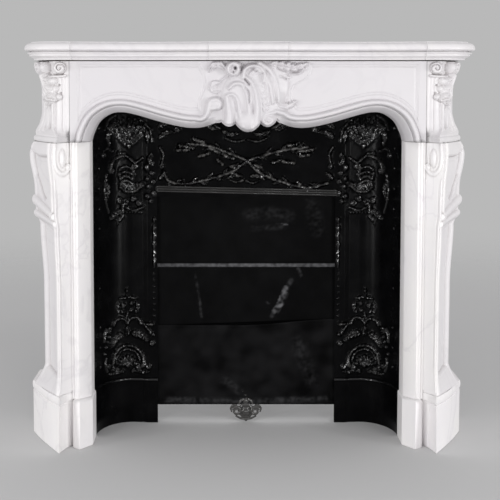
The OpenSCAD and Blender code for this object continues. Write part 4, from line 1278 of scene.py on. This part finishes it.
def pull():
    """The curtain's pull: a rosette between two C-scrolls, with a scalloped cap and a drop."""
    lo, hi = span("curtain_pull")
    t, low = hi[1] - TIP_Y, lo[2]
    mid = low + 31
    rim = [(23, t - 0.2), (23, t - 3), (21, t - 5), (17, t - 5.5), (16, t - 4)]
    parts = [turned("pull_cast", (0, mid), rim, 60, 12, 0.04),
             turned("rose", (0, mid), [(13.5, t - 3), (13.5, t - 7), (11, t - 10), (7, t - 11)], 48, 6, 0.14),
             turned("eye", (0, mid), [(6, t - 9), (6, t - 13), (4.5, t - 15.5), (1, t - 16.8)], 24)]
    for side in (-1, 1):
        start = 20 if side > 0 else 160
        ring = spiral((side * 27, mid - 1), 14, 1.35, start, clockwise=side < 0, end_radius=0.35)
        parts.append(tube("scroll", ring, (5.2, 3), t - 5, 60))
        for name, radii, count, *points in (("sprig", (2, 3.6), 24, (41, -4), (44, 8), (36, 16), (26, 15)),
                                            ("horn", (4.5, 2.5), 20, (6, 34), (16, 28), (20, 18)),
                                            ("tail", (2.6, 3.8), 20, (30, -15), (16, -22), (3, -24))):
            parts.append(tube(name, [[side * x, mid + up] for x, up in points], radii, t - 4, count))
    parts.append(turned("cap", (0, mid + 29), [(9, t), (9, t - 4), (6, t - 8), (1, t - 9.5)], 32, 5, 0.12))
    parts.append(turned("drop", (0, low + 6), [(5.8, t - 1), (5.8, t - 4), (4.5, t - 7), (1, t - 8.5)], 28))
    for x, up in ((-9, 56), (-1, 45)):
        head = [(3.6, t), (3.6, t - 1), (2.6, t - 2.4), (0.6, t - 3)]
        parts.append(turned("rivet", (x, mid + up), head, 20))
    return joined(parts)


# ---- making the pieces ----
marble_piece(shelf(), "mantel_shelf")
marble_piece(frieze(), "frieze")
for side in ("left", "right"):
    marble_piece(plinth(side), side + "_console_plinth")
    marble_piece(console(side), side + "_console")
    marble_piece(corner_block(side), side + "_corner_block")
    marble_piece(jamb(side), side + "_jamb")
    marble_piece(jamb_plinth(side), side + "_jamb_plinth")
    iron_piece(iron_casting(side), side + "_iron_casting")
iron_piece(iron_lintel(), "iron_lintel")
slat("top_slat", "upper_curtain", lambda x: 0 * x, 2.0,
     [([[8, 600], [60, 606], [122, 596]], 26, 0.07), ([[20, 560], [110, 566]], 12, 0.08),
      ([[190, 640], [205, 560]], 34, 0.06)], 2)
slat("middle_slat", "middle_curtain", lambda x: 8 + 0 * x, 6.0,
     [([[-145, 428], [-136, 370], [-128, 305]], 5, 0.22), ([[130, 412], [110, 376], [98, 344]], 9, 0.22),
      ([[112, 390], [100, 352], [82, 322]], 8, 0.26), ([[104, 346], [86, 330], [74, 306]], 7, 0.3),
      ([[120, 372], [92, 318]], 5, 0.2), ([[60, 350], [66, 344]], 4, 0.3),
      ([[150, 446], [158, 426]], 6, 0.3)], 5)
slat("bottom_slat", "lower_curtain", lambda x: 2 + 18 * ease((x + 20) / 280), 1.8,
     [([[-60, 120], [-20, 90]], 16, 0.12), ([[150, 230], [190, 120]], 30, 0.08),
      ([[-230, 64], [0, 60], [230, 66]], 12, 0.16)], 9, haze=0.06)
finish_piece(pull(), CAST_IRON, "black_cast_iron", "lower_curtain", "curtain_pull")

finishes = {"white_marble": MARBLE, "black_cast_iron": CAST_IRON, "black_sheet_iron": SHEET_IRON}
slots = {part["node"]: part["material_slot"] for part in frame["record"]["subparts"]}
for name, node in frame["nodes"].items():
    node.data.materials.clear()
    node.data.materials.append(finishes[slots[name]])


# ---- stage, lights and camera ----
def stage():
    """A pale floor that fades into the plain background."""
    bpy.ops.object.select_all(action="DESELECT")
    bpy.ops.mesh.primitive_circle_add(vertices=96, radius=7, fill_type="NGON")
    floor = bpy.context.object
    floor.name = "floor"
    mat, nodes, link, shader = start_material("Pale floor")
    shader.inputs["Base Color"].default_value = (0.60, 0.60, 0.60, 1)
    shader.inputs["Roughness"].default_value = 0.85
    shader.inputs["Specular IOR Level"].default_value = 0.1
    place = nodes.new("ShaderNodeTexCoord")
    reach = nodes.new("ShaderNodeVectorMath")
    reach.operation = "LENGTH"
    link(place.outputs["Object"], reach.inputs[0])
    fade = new_node(nodes, "ShaderNodeMapRange", From_Min=0.9, From_Max=5.5, To_Min=1.0, To_Max=0.0)
    fade.interpolation_type = "SMOOTHERSTEP"
    link(reach.outputs["Value"], fade.inputs["Value"])
    link(fade.outputs["Result"], shader.inputs["Alpha"])
    floor.data.materials.append(mat)


def surroundings():
    """Soft light from all round, and an even pale grey where the camera sees past the floor."""
    world = bpy.data.worlds.new("studio")
    world.use_nodes = True
    nodes, link = world.node_tree.nodes, world.node_tree.links.new
    glow = nodes["Background"]
    glow.inputs["Color"].default_value = (0.98, 0.975, 0.985, 1)
    glow.inputs["Strength"].default_value = 0.62
    seen = new_node(nodes, "ShaderNodeBackground", Color=(0.485, 0.485, 0.485, 1))
    rays = nodes.new("ShaderNodeLightPath")
    mix = nodes.new("ShaderNodeMixShader")
    link(rays.outputs["Is Camera Ray"], mix.inputs["Fac"])
    link(glow.outputs["Background"], mix.inputs[1])
    link(seen.outputs["Background"], mix.inputs[2])
    link(mix.outputs["Shader"], nodes["World Output"].inputs["Surface"])
    bpy.context.scene.world = world


def lamp(name, place, aim, size, power):
    """A soft rectangular lamp at a place, turned toward its aim."""
    data = bpy.data.lights.new(name, "AREA")
    data.shape = "RECTANGLE"
    data.size, data.size_y = size
    data.energy = power
    lamp_object = bpy.data.objects.new(name, data)
    bpy.context.scene.collection.objects.link(lamp_object)
    lamp_object.location = place
    lamp_object.rotation_euler = (Vector(aim) - Vector(place)).to_track_quat("-Z", "Y").to_euler()


def camera():
    """The camera in front of the mantel, level with the shelf's underside and turned down a little."""
    data = bpy.data.cameras.new("camera")
    data.sensor_width = 36
    data.lens = 87.4296
    data.shift_x, data.shift_y = 0.048, -0.15
    eye = bpy.data.objects.new("camera", data)
    bpy.context.scene.collection.objects.link(eye)
    eye.location = (-0.0607, TIP_Y / 1000 - 3.1627, 0.9755)
    eye.rotation_euler = (math.pi / 2 - 0.0749, 0, -0.0009)
    bpy.context.scene.camera = eye


stage()
lamps = {"left softbox": ((-4.0, -2.9, 0.55), (0, 0, 0.5), (0.75, 1.0), 66),
         "right softbox": ((4.0, -2.9, 0.55), (0, 0, 0.5), (0.75, 1.0), 74),
         "low left fill": ((-1.7, -3.1, 0.7), (-0.3, 0, 0.4), (0.6, 0.5), 20),
         "low right fill": ((1.7, -3.1, 0.7), (0.3, 0, 0.4), (0.6, 0.5), 21),
         "top softbox": ((0.2, -3.1, 3.4), (0, 0, 0.5), (0.55, 0.35), 12)}
for name, settings in lamps.items():
    lamp(name, *settings)
surroundings()
bpy.context.scene.view_settings.view_transform = "Standard"
camera()
